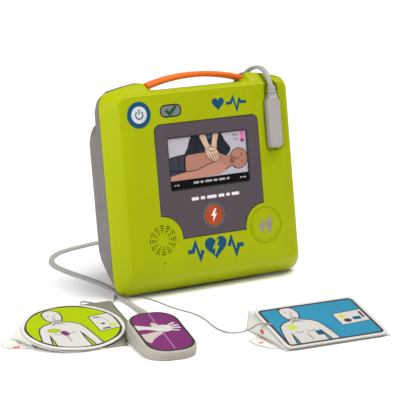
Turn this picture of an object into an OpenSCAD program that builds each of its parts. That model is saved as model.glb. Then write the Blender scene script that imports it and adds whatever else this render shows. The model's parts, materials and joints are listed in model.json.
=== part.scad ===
// Portable defibrillator standing on its feet, with its two electrode pads and
// chest-compression sensor laid out in front on their own lead.
// World frame: +X to the right, +Y to the back, +Z up, origin on the floor under the case's centre.
// Case frame, inside lean(): X to the right, Y into the case from the face, Z up the leaning face.

/* [Case] */
// Width across the front shell
case_w = 236; // [230:1:242]
// Height of the shells up the lean, without the handle bosses
case_h = 221; // [219:1:223]
// Depth from the lowest edge of the face to the flat back
case_depth = 127; // [125:1:132]
// Backward lean of the face, in degrees
lean_deg = 9.2; // [8.8:0.1:9.6]
// Wall thickness of the shells
wall = 2.6; // [2.2:0.1:3]
// Height of the rubber feet
foot_h = 2.5; // [2.2:0.1:3]
// Corner radius of the shells
corner_r = 16; // [14:1:18]

/* [Face] */
// How far the bevel steps the face in from the sides
bevel_w = 13.4; // [12:0.2:14]
// Depth of the bevel round the face
bevel_d = 20; // [19:0.5:20.5]
// Thickness of the face wall
face_t = 4.2; // [4:0.1:4.6]
// Width of the visible screen
screen_w = 98.2; // [92:0.2:100]
// Height of the screen's centre on the face
screen_v = 137; // [134:1:140]
// Width of the charcoal panel
panel_w = 131; // [129:1:133]
// Height of the panel's top edge on the face
panel_top = 181.5; // [179:0.5:183]
// Height of the panel's bottom edge on the face
panel_bottom = 55.3; // [53:0.1:57]

/* [Controls] */
// Radius of the ring round the power button
power_ring_r = 14.2; // [13.6:0.1:14.6]
// Radius of the power button's cap
power_cap_r = 9.2; // [8.6:0.1:9.8]
// Radius of the shock button's cap
shock_cap_r = 11.3; // [10.8:0.1:11.6]
// Radius of the child button's cap
child_cap_r = 17; // [16.6:0.1:17.4]
// Radius of the speaker grille
grille_r = 15.6; // [14.8:0.1:16]
// Travel of the power and child buttons
short_travel = 1.5; // [1:0.1:1.6]
// Travel of the shock button
shock_travel = 2; // [1.5:0.1:2.1]
// Gap round each moving cap
cap_gap = 0.15; // [0.12:0.01:0.25]

/* [Handle] */
// Radius of the handle's arch, to the middle of the grip
arch_r = 213; // [211:1:215]
// Height of the grip's middle on the face at the top of the arch
arch_top = 230.6; // [230:0.1:231.5]
// Thickness of the grip, up and down
grip_t = 6.2; // [5.8:0.1:6.4]
// Depth of the grip, front to back
grip_d = 16; // [14:0.5:17]

/* [Battery and pad store] */
// Width of the battery pack
battery_w = 95; // [90:1:96]
// Height of the battery pack
battery_h = 41; // [39:0.5:41.5]
// Travel of the battery latch
latch_travel = 3; // [2:0.5:3]
// Width of the rear store's lid
lid_w = 104; // [100:0.5:104.4]
// Height of the rear store's lid
lid_h = 101; // [98:0.5:101]

/* [Electrodes] */
// Half length of the oval pad's print
oval_a = 49; // [47:0.5:50]
// Half width of the oval pad's print
oval_b = 43; // [41:0.5:44]
// Width of the rectangular pad's print
square_w = 108; // [104:1:110]
// Length of the rectangular pad's print
square_l = 71; // [68:1:73]
// Width of the chest-compression sensor's top
sensor_w = 50; // [48:1:52]
// Length of the chest-compression sensor's top
sensor_l = 86; // [83:1:88]
// Thickness of the chest-compression sensor at its thin end
sensor_t = 10; // [9:0.5:11]

/* [Leads] */
// Radius of the main lead as a plain tube
lead_r = 1.8; // [1.6:0.1:1.8]
// Radius of the thin leads to the pads
thin_r = 0.8; // [0.7:0.1:0.9]

/* [Hidden] */

$fn = 48;
soft_fn = 40;
skin = 0.01;          // thickness of the plates that a hull is drawn over
past = 1;             // how far a cut runs past the face that it opens

// Case frame
half_w = case_w / 2;
low_share = 1.35;     // the bevel is deeper along the bottom
top_share = 0.55;     // and shallower along the top
corner_share = 0.6;
face_low = bevel_w * low_share;
shift_y = case_depth / 2 + face_low * sin(lean_deg);
lift = foot_h + 3.2;
back_y = case_depth / 2;

// Seam between the shells, as depths behind the face
front_back = 22;
rear_front = 22.8;
seam_in = 0.8;        // how far the gasket sits in from the outside

// Handle
boss_in = 57;         // the bosses start this far each side of the middle
boss_out = 108;
lip_top = 217.7;      // top edge of the front shell between the bosses
trough_floor = 193;
trough_front = 27;
grip_depth = 24;      // depth behind the face of the grip's middle
core_t = 2.4;
core_d = 10;
grip_half_angle = 16.3;

// Face features: across and up
power_at = [-82, 194];
status_at = [-43, 195];
status_size = [27, 14];
shock_at = [0, 76.5];
shock_ring_r = 14;
child_at = [65.3, 57.3];
speaker_at = [-65.3, 57.3];
microphone_at = [-65.3, 32.2];
scoop_r = 25;
groove_r = 20.5;
panel_r = 8;
panel_t = 1.6;
recess_t = 1.8;
screen_h = screen_w * 9 / 16;
flange_t = 0.6;
cap_back = 5;         // depth of the back of each button's flange
switch_gap = 0.3;     // free play between a pressed cap and its switch
interface_front = 9;
board_t = 1.6;

// Plug and its recess
plug_u = 85.2;
plug_w = 16.4;
plug_bottom = 142;
plug_top = 193;
plug_proud = 6.5;
pocket_d = 2.5;
neck_top = 209;

// Inside the rear shell
main_front = 40;
screw_r = 1.75;
screw_at = [[-98, 64], [98, 64], [-98, 164], [98, 164]];
post_at = [[-86, 78], [86, 78], [-86, 168], [86, 168]];
wing_back = 59;

// Rear bulge, in the world frame
bulge_half = 68;
bulge_front = -42;
bulge_top = 181;
bulge_r = 14;
bay_floor = 9;
bay_front = 2;
fit_gap = 0.5;
store_half = 48;
lid_space = lid_w / 2 + 0.5;
battery_low = bay_floor + fit_gap;
battery_back = back_y - 0.2;
latch_top = battery_low + battery_h;
latch_low = latch_top - 13;
store_low = 66;
store_high = 158;
store_front = 24;
lid_bottom = 62.5;
lid_t = 2.4;
knuckle_r = 2.2;
pin_r = 1;
pin_gap = 0.05;
lid_axis = [0, back_y - knuckle_r, lid_bottom + lid_h - knuckle_r];

// Service port on the right side, in the case frame
port_at = [42, 96];
port_door = [15, 15];
door_t = 1.3;
door_axis_r = 0.8;
door_x = half_w - 1.7;
door_axis_v = port_at[1] + port_door[1] / 2 - door_axis_r;

// Leads, as hand-chosen points in the world frame
upper_route = [
    [85, -35.5, 212], [85, -31, 219], [85, -25, 226], [85, -16, 230], [85, -6, 230.5],
    [85, 6, 227], [85, 18, 220], [86, 30, 207], [88, 38, 190], [90, 43, 165], [92, 46, 135],
    [94, 49, 105], [96, 53, 75], [98, 59, 48], [101, 69, 24], [103, 84, 9], [104, 100, 3],
    [104, 116, 3],
];
lower_route = [
    [70, 152, 3.2], [50, 155, 3], [30, 159, 3], [10, 163.5, 2.6], [-12, 168, 2.2], [-32, 169, 1.8],
    [-55, 164, 1.8], [-72, 159, 1.8], [-88, 152, 1.8], [-100, 142, 1.8], [-109, 129, 1.8],
    [-115, 114, 1.8], [-117, 98, 1.8], [-116, 80, 1.8], [-113, 60, 1.8], [-109, 40, 1.8],
    [-106, 20, 1.8], [-105, 0, 1.8], [-106.5, -24, 1.8], [-111, -46, 1.8], [-113, -66, 1.8],
    [-115, -86, 2.2], [-118, -104, 4], [-124, -121, 7.5], [-131, -137, 12], [-138, -152, 16],
    [-143, -162, 18.7], [-145, -167.5, 19.4],
];
green_route = [
    [-106.3, -23, 1.8], [-112, -33, 1], [-119, -45, 1.5], [-128, -60, 4.5], [-138.5, -77, 8.5],
    [-151, -87, 12], [-165.5, -91, 16], [-177.5, -92.2, 19.8], [-182.8, -93.5, 21.1],
    [-185.6, -96.5, 20.5], [-187.4, -100.4, 20],
];
blue_route = [
    [-106, -22, 1.6], [-101, -30, 0.8], [-95, -38, 0.8], [-90, -48, 0.8], [-86, -59, 0.8],
    [-83, -72, 0.8], [-81, -87, 0.8], [-79, -103, 0.8], [-75, -117, 0.8], [-71, -130, 0.8],
    [-70, -146, 0.8], [-72, -162, 0.8], [-75, -178, 0.8], [-76, -194, 0.8], [-73, -208, 1.5],
    [-68, -219, 4], [-62, -228, 9], [-57, -233, 14], [-51, -238, 16], [-44, -241, 14.6],
];
coil_at = [70, 118];
coil_r = 34;
coil_w = 13;
coil_h = 8;

// Electrodes, in the world frame: place, turn and tilt
green_at = [-216, -140];
green_turn = -5;
green_tilt = 11;
blue_at = [-56, -287];
blue_turn = -5;
blue_tilt = 13;
sensor_at = [-184, -245];
sensor_turn = -9.5;
sensor_tilt = 9;
sensor_flare = 2;     // how far the base stands out round the top
margin = 6;           // foam round the print
foam_t = 1.6;
gel_t = 0.8;
leaf_t = 0.6;         // thickness of a release liner's leaf
flap = 20;            // how far a liner's free end reaches past the pad
sensor_r = 20;

// ---------- Frames and shared shapes ----------

module lean() {
    translate([0, -shift_y, lift]) rotate([-lean_deg, 0, 0]) children();
}

// Extrudes an outline drawn across and up the face, from depth d0 to depth d1
module plate(d0, d1) {
    translate([0, d1, 0]) rotate([90, 0, 0]) linear_extrude(height = d1 - d0) children();
}

// Extrudes an outline drawn in depth and height, from x0 to x1
module side(x0, x1) {
    translate([x0, 0, 0]) rotate([90, 0, 90]) linear_extrude(height = x1 - x0) children();
}

module rrect(x0, x1, y0, y1, r) {
    translate([x0 + r, y0]) square([x1 - x0 - 2 * r, y1 - y0]);
    translate([x0, y0 + r]) square([x1 - x0, y1 - y0 - 2 * r]);
    for (x = [x0 + r, x1 - r], y = [y0 + r, y1 - r]) translate([x, y]) circle(r);
}

// A disc or bore along the depth
module disc(at, r, d0, d1) {
    translate([at[0], d0, at[1]]) rotate([-90, 0, 0]) cylinder(r = r, h = d1 - d0);
}

module block(x0, x1, y0, y1, z0, z1) {
    translate([x0, y0, z0]) cube([x1 - x0, y1 - y0, z1 - z0]);
}

// Outline of the shell, drawn in by e from its widest section
module shell_outline(e) {
    rrect(-half_w + e, half_w - e, e * low_share, case_h - e * top_share, corner_r - e * corner_share);
}

// ---------- Curves ----------

function unit(v) = v / norm(v);
function tangent(p, i) = unit(p[min(i + 1, len(p) - 1)] - p[max(i - 1, 0)]);
function carried(n, t) = unit(n - (n * t) * t);
function normals(p, n, i = 0) =
    i >= len(p) ? [] : let (m = carried(n, tangent(p, i))) concat([m], normals(p, m, i + 1));
function between(a, b, c, d, t) =
    0.5 * (2 * b + (c - a) * t + (2 * a - 5 * b + 4 * c - d) * t * t
    + (3 * b - a - 3 * c + d) * t * t * t);
function smooth(p, steps) = [
    for (i = [0:len(p) - 2]) for (j = [0:steps - 1])
        between(p[max(i - 1, 0)], p[i], p[i + 1], p[min(i + 2, len(p) - 1)], j / steps),
    p[len(p) - 1],
];
function ellipse(a, b, n) = [for (k = [0:n - 1]) [a * cos(360 * k / n), b * sin(360 * k / n)]];

// A closed tube through the points p
module tube(p, r, sides, start) {
    n = normals(p, start);
    count = len(p);
    points = [
        for (i = [0:count - 1]) let (t = tangent(p, i)) for (k = [0:sides - 1])
            p[i] + r * (cos(360 * k / sides) * n[i] + sin(360 * k / sides) * cross(t, n[i])),
    ];
    walls = [
        for (i = [0:count - 2]) for (k = [0:sides - 1]) let (q = (k + 1) % sides)
            [i * sides + k, (i + 1) * sides + k, (i + 1) * sides + q, i * sides + q],
    ];
    near_cap = [for (k = [0:sides - 1]) k];
    far_cap = [for (k = [sides - 1:-1:0]) (count - 1) * sides + k];
    polyhedron(points = points, faces = concat(walls, [near_cap, far_cap]), convexity = 10);
}

// ---------- Shells ----------

// Outside of the front shell: the face, a rounded edge, the bevel and a straight rim
module front_form() {
    rings = [[0, 1], [0.5, 0.93], [1.5, 0.86], [bevel_d - 2, 0.06], [bevel_d - 0.6, 0.015],
        [front_back - skin, 0]];
    hull() for (g = rings) plate(g[0], g[0] + skin) shell_outline(bevel_w * g[1], $fn = soft_fn);
}

module front_cavity() {
    inner_w = half_w - wall;
    hull() {
        plate(face_t, face_t + skin) rrect(-inner_w + 12, inner_w - 12, 20, 208, 8, $fn = soft_fn);
        plate(bevel_d, front_back + past) rrect(-inner_w, inner_w, wall + 0.4, 213, 13, $fn = soft_fn);
    }
}

// Outline of one handle boss, at full height or low by drop
module boss_outline(drop) {
    polygon([
        [boss_in, 200], [boss_in, lip_top - drop], [64, 226 - drop], [69, 227.2 - drop],
        [85, 224.9 - drop], [103, 221.3 - drop], [boss_out, 217.5 - drop], [boss_out, 200],
    ]);
}

module front_boss() {
    hull() {
        plate(4, 4 + skin) boss_outline(11);
        plate(9, 9 + skin) boss_outline(6.5);
        plate(15, 15 + skin) boss_outline(1.6);
        plate(19, front_back) boss_outline(0);
    }
}

module rear_boss() {
    hull() {
        plate(rear_front, 31) boss_outline(0);
        plate(35, 35 + skin) boss_outline(3);
        plate(38, 38 + skin) boss_outline(9);
    }
}

module both_sides() {
    children();
    mirror([1, 0, 0]) children();
}

module panel_outline(gap) {
    difference() {
        rrect(-panel_w / 2 - gap, panel_w / 2 + gap, panel_bottom - gap, panel_top + gap, panel_r);
        translate(speaker_at) circle(scoop_r - gap);
        translate(child_at) circle(scoop_r - gap);
    }
}

module screen_outline(gap) {
    half = screen_w / 2 + gap;
    rrect(-half, half, screen_v - screen_h / 2 - gap, screen_v + screen_h / 2 + gap, 1.5);
}

module status_outline(gap) {
    translate(status_at)
        rrect(-status_size[0] / 2 - gap, status_size[0] / 2 + gap,
            -status_size[1] / 2 - gap, status_size[1] / 2 + gap, status_size[1] / 2 + gap - skin);
}

module plug_outline(gap) {
    half = plug_w / 2 + gap;
    neck = 5.5 + gap;
    translate([plug_u, 0]) polygon([
        [-half, plug_bottom + 4 - gap], [-half + 4, plug_bottom - gap], [half - 4, plug_bottom - gap],
        [half, plug_bottom + 4 - gap], [half, plug_top], [neck, plug_top + 6], [neck, neck_top + gap],
        [-neck, neck_top + gap], [-neck, plug_top + 6], [-half, plug_top],
    ]);
}

// Arc-shaped slots in four rings, cut by twelve spokes
module grille_outline() {
    ring_step = (grille_r - 8) / 3;
    translate(speaker_at) difference() {
        for (k = [0:3]) difference() {
            circle(8 + k * ring_step + 0.55);
            circle(8 + k * ring_step - 0.55);
        }
        for (k = [0:5]) rotate(k * 30 + 15) square([50, 2.4], center = true);
    }
}

module front_case() {
    color("yellowgreen") lean() {
        difference() {
            union() {
                difference() {
                    front_form();
                    plate(-past, front_back + past) translate([-boss_in, lip_top]) square([2 * boss_in, 30]);
                }
                both_sides() front_boss();
            }
            difference() {
                front_cavity();
                for (at = screw_at) disc(at, 4.5, 0, front_back);
            }
            for (at = screw_at) disc(at, screw_r, 10, front_back + past);
            plate(-past, recess_t) panel_outline(0.2);
            plate(-past, face_t + past) screen_outline(1.6);
            disc(power_at, power_ring_r, -past, face_t + past);
            disc(shock_at, shock_ring_r, -past, face_t + past);
            disc(child_at, child_cap_r + cap_gap, -past, face_t + past);
            plate(-past, face_t + past) status_outline(0.1);
            plate(-past, face_t + past) grille_outline();
            disc(microphone_at, 0.9, -past, face_t + past);
            plate(-past, 0.6) translate(child_at) difference() {
                circle(groove_r);
                circle(groove_r - 1.2);
            }
            plate(-past, pocket_d) plug_outline(3.5);
            plate(-past, 6) translate([plug_u - 7, 200]) square([14, 30]);
            block(plug_u - 6.5, plug_u + 6.5, 0, 8, 150, 186);
            // The grip's arch passes through the bosses' inner walls
            grip_solid(0);
        }
    }
}

module rear_outer() {
    // Upper tier behind the handle
    hull() for (g = [[rear_front, 0, 221], [30, 0.4, 219], [35, 1.2, 213.5], [38.5, 3.5, 205]])
        plate(g[0], g[0] + skin) rrect(-half_w + g[1], half_w - g[1], 60, g[2], corner_r, $fn = soft_fn);
    // Deeper lower tier, its bottom corners lifting towards the back
    tier = [[rear_front, 0, 0, 192, 16], [40, 0.6, 15, 192, 18.5], [50, 1, 24, 190, 20],
        [56, 2.5, 30, 185.5, 21], [wing_back - skin, 7, 36, 180, 20]];
    hull() for (g = tier)
        plate(g[0], g[0] + skin) rrect(-half_w + g[1], half_w - g[1], g[2], g[3], g[4], $fn = soft_fn);
    both_sides() rear_boss();
}

// Centre bulge that holds the battery and the pad store, upright in the world frame
module bulge() {
    hull() for (g = [[foot_h, 0], [168, 0], [176, 3.5], [bulge_top, 10]])
        translate([0, 0, g[0]]) linear_extrude(height = skin)
            rrect(-bulge_half + g[1], bulge_half - g[1], bulge_front, back_y - g[1], bulge_r, $fn = soft_fn);
}

module rear_inner() {
    lean() {
        plate(rear_front - past, 34.5) rrect(-half_w + wall, half_w - wall, 60, 208, 13);
        room = [[rear_front - past, 2.6, 3.6, 189, 13.5], [40, 3.4, 18, 189, 15.5],
            [50, 3.8, 27, 187, 17], [56.4, 6, 34, 182, 17]];
        hull() for (g = room)
            plate(g[0], g[0] + skin) rrect(-half_w + g[1], half_w - g[1], g[2], g[3], g[4], $fn = soft_fn);
    }
    // Inside the bulge: rounded at the back, square at the front
    half = bulge_half - wall;
    block(-half, half, bulge_front + 4, back_y - 2 * bulge_r, foot_h + wall, 172);
    translate([0, 0, foot_h + wall]) linear_extrude(height = 172 - foot_h - wall)
        rrect(-half, half, back_y - 4 * bulge_r, back_y - wall, bulge_r - wall);
}

module rear_case() {
    bay_half = battery_w / 2 + fit_gap;
    bay_top = bay_floor + battery_h + 2 * fit_gap;
    color("dimgray") difference() {
        union() {
            lean() rear_outer();
            difference() {
                bulge();
                lean() block(-150, 150, -200, rear_front, -60, 300);
            }
        }
        difference() {
            rear_inner();
            // Walls that stay: the handle trough, screw pillars, battery bay and pad store
            lean() {
                block(-boss_in - wall, boss_in + wall, rear_front - past, 70, trough_floor - wall, 240);
                for (at = screw_at) disc(at, 5, rear_front, wing_back);
            }
            block(-bay_half - 2, bay_half + 2, bay_front - 2, back_y, foot_h, bay_top + 2);
            block(-store_half - 2, store_half + 2, store_front - 2, back_y, store_low - 2, store_high + 2);
            block(-lid_space - 4, lid_space + 4, back_y - 8, back_y, lid_bottom - 3, lid_bottom + lid_h + 4);
            lean() block(100, half_w, port_at[0] - 9, port_at[0] + 9, port_at[1] - 9, port_at[1] + 9);
        }
        lean() {
            block(-boss_in, boss_in, trough_front, 90, trough_floor, 240);
            block(-boss_in, boss_in, 0, 90, lip_top, 240);
            for (at = screw_at) disc(at, screw_r + 0.15, rear_front - past, wing_back);
            for (at = screw_at) disc(at, 3.4, wing_back - 2.4, wing_back + 5);
            // Pocket and hole of the service port
            block(half_w - 2.6, half_w + past, port_at[0] - 8, port_at[0] + 8, port_at[1] - 8, port_at[1] + 8);
            block(half_w - 16, half_w, port_at[0] - 5, port_at[0] + 5, port_at[1] - 3, port_at[1] + 3);
            grip_solid(0);
        }
        block(-bay_half, bay_half, bay_front, back_y + past, bay_floor, bay_top);
        block(-15, 15, bay_front - 4, bay_front + past, 20, 40);
        block(-store_half, store_half, store_front, back_y + past, store_low, store_high);
        // Rebate that the lid closes into, and the groove for its knuckle
        lid_top = lid_bottom + lid_h + 0.5;
        block(-lid_space, lid_space, back_y - 2.6, back_y + past, lid_bottom - 0.5, lid_top);
        block(-lid_space, lid_space, back_y - 4.9, back_y + past, lid_axis[2] - 2.8, lid_top);
        translate([-lid_space - 3, lid_axis[1], lid_axis[2]]) rotate([0, 90, 0])
            cylinder(r = pin_r, h = 2 * lid_space + 6);
    }
}

module case_gasket() {
    color("black") lean() plate(front_back, rear_front) difference() {
        rrect(-half_w + seam_in, half_w - seam_in, seam_in + 0.4, lip_top - seam_in, corner_r - seam_in);
        rrect(-half_w + wall, half_w - wall, 5, 212, 13);
    }
}

module feet() {
    color("black") for (y = [bulge_front + 10, back_y - 12]) hull() for (x = [-48, 48])
        translate([x, y, 0]) cylinder(r = 5, h = foot_h, $fn = soft_fn);
}

module case_screws() {
    color("silver") lean() for (at = screw_at) {
        disc(at, screw_r, 12, wing_back - 2.4);
        difference() {
            disc(at, 3.2, wing_back - 2.4, wing_back - 0.4);
            disc(at, 1.5, wing_back - 1.4, wing_back, $fn = 6);
        }
    }
}

// ---------- Handle ----------

// Part of a ring through the arch, with a rounded section
module arch(t, d, half_angle) {
    translate([0, grip_depth, arch_top - arch_r]) rotate([90, 0, 0]) rotate([0, 0, 90 - half_angle])
        rotate_extrude(angle = 2 * half_angle, $fn = 180) translate([arch_r, 0])
            rrect(-t / 2, t / 2, -d / 2, d / 2, t / 2 - skin, $fn = 32);
}

module grip_solid(trim) {
    arch(grip_t - trim, grip_d - trim, grip_half_angle);
}

module handle_grip() {
    color("darkorange") lean() difference() {
        grip_solid(0);
        arch(core_t, core_d, grip_half_angle + 1);
    }
}

module handle_core() {
    color("silver") lean() arch(core_t, core_d, grip_half_angle);
}

// ---------- Face ----------

module fascia_panel() {
    color("darkslategray") lean() difference() {
        plate(recess_t - panel_t, recess_t) panel_outline(0);
        plate(-past, recess_t + past) screen_outline(0.6);
        disc(shock_at, shock_ring_r, -past, recess_t + past);
    }
}

module display_window() {
    color("lightblue", 0.4) lean() plate(0.4, 1.5) screen_outline(0.5);
}

module lcd_module() {
    color("lightgray") lean() {
        plate(1.6, recess_t) screen_outline(0.4);
        plate(recess_t, 8) screen_outline(1.5);
    }
}

module power_ring() {
    color("teal") lean() difference() {
        disc(power_at, power_ring_r, -0.4, face_t);
        disc(power_at, power_cap_r + cap_gap, -past, face_t + past);
    }
}

// A cap that stands proud of the face, with a flange behind the hole it moves in
module cap(at, r, proud, hollow) {
    difference() {
        union() {
            disc(at, r, -proud, cap_back - flange_t);
            disc(at, r + 1, cap_back - flange_t, cap_back);
        }
        if (hollow > 0) translate([at[0], -proud - hollow * 0.62, at[1]]) scale_bowl(hollow);
    }
}

// Shallow finger dish: the side of a large ball
module scale_bowl(depth) {
    ball_r = 60;
    translate([0, depth - ball_r, 0]) sphere(r = ball_r, $fn = 96);
}

module power_button() {
    color("white") lean() cap(power_at, power_cap_r, 0.8, 0);
}

module status_window() {
    color("darkgreen") lean() plate(0.2, face_t + 0.8) status_outline(0);
}

module shock_ring() {
    color("gainsboro") lean() difference() {
        disc(shock_at, shock_ring_r, -0.4, face_t);
        disc(shock_at, shock_cap_r + cap_gap, -past, face_t + past);
    }
}

module shock_button() {
    color("orangered") lean() cap(shock_at, shock_cap_r, 0.6, 0.9);
}

module child_button() {
    color("yellowgreen") lean() cap(child_at, child_cap_r, 0.3, 0);
}

module interface_board() {
    color("darkgreen") lean() plate(interface_front, interface_front + board_t) {
        translate([-90, 82]) square([160, 124]);
        translate([-22, 40]) square([110, 60]);
    }
}

module button_switches() {
    color("dimgray") lean() for (k = [0:2]) {
        at = [power_at, shock_at, child_at][k];
        top = cap_back + [short_travel, shock_travel, short_travel][k] + switch_gap;
        block(at[0] - 3, at[0] + 3, 8, interface_front, at[1] - 3, at[1] + 3);
        disc(at, 1.7, top, 8);
    }
}

module speaker() {
    color("black") lean() {
        disc(speaker_at, 17.5, 5.4, 7);
        disc(speaker_at, 14, 7, 12);
        disc(speaker_at, 9, 12, 17);
    }
}

module speaker_gasket() {
    color("gray") lean() difference() {
        disc(speaker_at, 17.5, face_t, 5.4);
        disc(speaker_at, 16.6, face_t - past, 6);
    }
}

module microphone() {
    color("gray") lean() disc(microphone_at, 3, face_t, face_t + 3);
}

module plug_socket() {
    color("black") lean() difference() {
        block(plug_u - 6.5, plug_u + 6.5, pocket_d, 22, 150, 186);
        block(plug_u - 4.5, plug_u + 4.5, 0, 14, 154, 182);
    }
}

// ---------- Electronics ----------

module main_board() {
    color("darkgreen") lean() difference() {
        plate(main_front, main_front + board_t) rrect(-92, 92, 70, 178, 3);
        for (at = post_at) disc(at, 1.6, main_front - past, main_front + board_t + past);
    }
}

module board_standoffs() {
    color("goldenrod") lean() for (at = post_at) difference() {
        disc(at, 3, main_front + board_t, 56.4);
        disc(at, 1.25, main_front, 50);
    }
}

module board_screws() {
    color("silver") lean() for (at = post_at) {
        disc(at, 1.25, main_front, 49);
        disc(at, 2.6, main_front - 1.8, main_front);
    }
}

module hv_capacitor() {
    color("steelblue") lean() translate([-72, main_front - 13, 156]) rotate([0, 90, 0]) {
        cylinder(r = 13, h = 66);
        translate([0, 0, -1.5]) cylinder(r = 10, h = 1.5);
    }
}

module charger_transformer() {
    color("khaki") lean() {
        block(32, 66, main_front - 20, main_front, 102, 108);
        block(32, 66, main_front - 20, main_front, 126, 132);
        block(36, 62, main_front - 18, main_front - 2, 108, 126);
    }
}

module discharge_inductor() {
    color("peru") lean() translate([-60, main_front - 13, 112]) rotate([-90, 0, 0])
        rotate_extrude() translate([13, 6.5]) square([12, 13], center = true);
}

module transfer_relay() {
    color("gainsboro") lean() block(-24, 6, main_front - 18, main_front, 100, 116);
}

module clock_cell() {
    color("silver") lean() disc([8, 84], 10, main_front - 3.2, main_front);
}

// ---------- Battery, pad store and service port ----------

module battery_pack() {
    half = battery_w / 2;
    color("dimgray") difference() {
        block(-half, half, bay_front + 2, battery_back, battery_low, battery_low + battery_h);
        // Pocket of the latch, open at the back and the top
        block(-10, 10, battery_back - 7, battery_back + past, latch_low - latch_travel - 1, latch_top + past);
        // Finger recess along the lower edge
        block(-22, 22, battery_back - 8, battery_back + past, battery_low + 6, battery_low + 15);
    }
}

module battery_latch() {
    color("orange") {
        block(-9.5, 9.5, battery_back - 6.7, battery_back - 3, latch_low, latch_top - 0.3);
        for (z = [latch_low + 2, latch_low + 6, latch_low + 10])
            block(-7, 7, battery_back - 3, battery_back - 1, z, z + 2);
    }
}

module battery_terminals() {
    color("gold") {
        block(-15, 15, bay_front - 4, bay_front, 20, 40);
        for (x = [-10, -3.3, 3.3, 10]) translate([x, bay_front, 30]) rotate([-90, 0, 0])
            cylinder(r = 1.2, h = 1.7);
    }
}

module storage_lid() {
    half = lid_w / 2;
    color("slategray") difference() {
        union() {
            block(-half, half, back_y - lid_t, back_y - 0.1, lid_bottom, lid_axis[2]);
            translate([-half, lid_axis[1], lid_axis[2]]) rotate([0, 90, 0])
                cylinder(r = knuckle_r - 0.1, h = lid_w);
        }
        translate([-half - past, lid_axis[1], lid_axis[2]]) rotate([0, 90, 0])
            cylinder(r = pin_r + pin_gap, h = lid_w + 2 * past);
    }
}

module lid_pin() {
    color("silver") translate([-lid_space - 3, lid_axis[1], lid_axis[2]]) rotate([0, 90, 0])
        cylinder(r = pin_r, h = 2 * lid_space + 6);
}

module usb_socket() {
    color("silver") lean() difference() {
        block(half_w - 15.5, half_w - 4, port_at[0] - 5, port_at[0] + 5, port_at[1] - 3, port_at[1] + 3);
        block(half_w - 13, half_w, port_at[0] - 4.2, port_at[0] + 4.2, port_at[1] - 2.2, port_at[1] + 2.2);
    }
}

module usb_cover() {
    half = port_door[0] / 2;
    color("dimgray") lean() {
        block(door_x - door_t / 2, door_x + door_t / 2, port_at[0] - half, port_at[0] + half,
            port_at[1] - port_door[1] / 2, door_axis_v);
        translate([door_x, port_at[0] - half, door_axis_v]) rotate([-90, 0, 0])
            cylinder(r = door_axis_r, h = port_door[0]);
    }
}

// ---------- Plug and leads ----------

module pad_plug() {
    color("silver") lean() {
        hull() {
            plate(-plug_proud, -plug_proud + skin) offset(delta = -1.2) plug_body();
            plate(-plug_proud + 1.2, pocket_d) plug_body();
        }
        block(plug_u - 4.2, plug_u + 4.2, pocket_d, 12, 154.3, 181.7);
    }
}

module plug_body() {
    half = plug_w / 2;
    translate([plug_u, 0]) polygon([
        [-half, plug_bottom + 3], [-half + 3, plug_bottom], [half - 3, plug_bottom],
        [half, plug_bottom + 3], [half, plug_top], [4.4, plug_top + 6.5], [-4.4, plug_top + 6.5],
        [-half, plug_top],
    ]);
}

relief_d = -2.2;      // depth behind the face of the relief's middle

module plug_relief() {
    color("silver") lean() {
        for (k = [0:2])
            plate(relief_d - 3.2 + 0.3 * k, relief_d + 3.2 - 0.3 * k)
                translate([plug_u, plug_top + 7.3 + 3.7 * k]) square([9.8 - 0.9 * k, 2.6], center = true);
        plate(relief_d - 2.2, relief_d + 2.2)
            translate([plug_u, plug_top + 6.5]) translate([-3.5, 0]) square([7, neck_top - plug_top - 5]);
    }
}

module lead_upper() {
    color("gainsboro") tube(smooth(upper_route, 2), lead_r, 8, [1, 0, 0]);
}

module lead_lower() {
    color("gainsboro") tube(smooth(lower_route, 2), lead_r, 8, [0, 0, 1]);
}

module lead_coil() {
    color("gainsboro") translate([coil_at[0], coil_at[1], coil_h / 2 + 0.2])
        rotate_extrude($fn = 64) translate([coil_r, 0])
            rrect(-coil_w / 2, coil_w / 2, -coil_h / 2, coil_h / 2, 3, $fn = 24);
}

module coil_tie() {
    color("black") translate([coil_at[0] + coil_r * cos(20), coil_at[1] + coil_r * sin(20), coil_h / 2 + 0.2])
        rotate([0, 0, 20]) difference() {
            block(-coil_w / 2 - 1, coil_w / 2 + 1, -4, 4, -coil_h / 2 - 0.2, coil_h / 2 + 1);
            block(-coil_w / 2, coil_w / 2, -5, 5, -coil_h / 2, coil_h / 2);
        }
}

module green_lead() {
    color("gainsboro") tube(smooth(green_route, 2), thin_r, 8, [0, 0, 1]);
}

module blue_lead() {
    color("gainsboro") tube(smooth(blue_route, 2), thin_r, 8, [0, 0, 1]);
}

// ---------- Electrodes ----------

module laid(at, turn, tilt, rise) {
    translate([at[0], at[1], 0]) rotate([0, 0, turn]) translate([0, 0, rise]) rotate([tilt, 0, 0]) children();
}

// A liner folded at its back edge, so that it props up what lies on it
module folded_liner(x0, x1, l, tilt) {
    rise = leaf_t + 0.1;
    back = l * cos(tilt);
    top = rise + l * sin(tilt);
    slip = leaf_t / sin(tilt);
    side(x0, x1) polygon([
        [0, 0], [back, 0], [back, top], [0, rise],
        [slip, rise], [back - leaf_t, top - leaf_t * 2], [back - leaf_t, leaf_t], [slip, leaf_t],
    ]);
}

green_front = oval_b + margin;
green_rise = leaf_t + 0.2 + green_front * sin(green_tilt);

module green_plate(t0, t1, grow) {
    translate([0, 0, t0]) linear_extrude(height = t1 - t0)
        polygon(ellipse(oval_a + grow, oval_b + grow, 48));
}

module green_pad() {
    color("yellowgreen") laid(green_at, green_turn, green_tilt, green_rise)
        green_plate(gel_t + 0.1, gel_t + foam_t + 0.1, margin);
}

module green_gel() {
    color("lightblue") laid(green_at, green_turn, green_tilt, green_rise)
        green_plate(0.1, gel_t + 0.1, -2);
}

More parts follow.
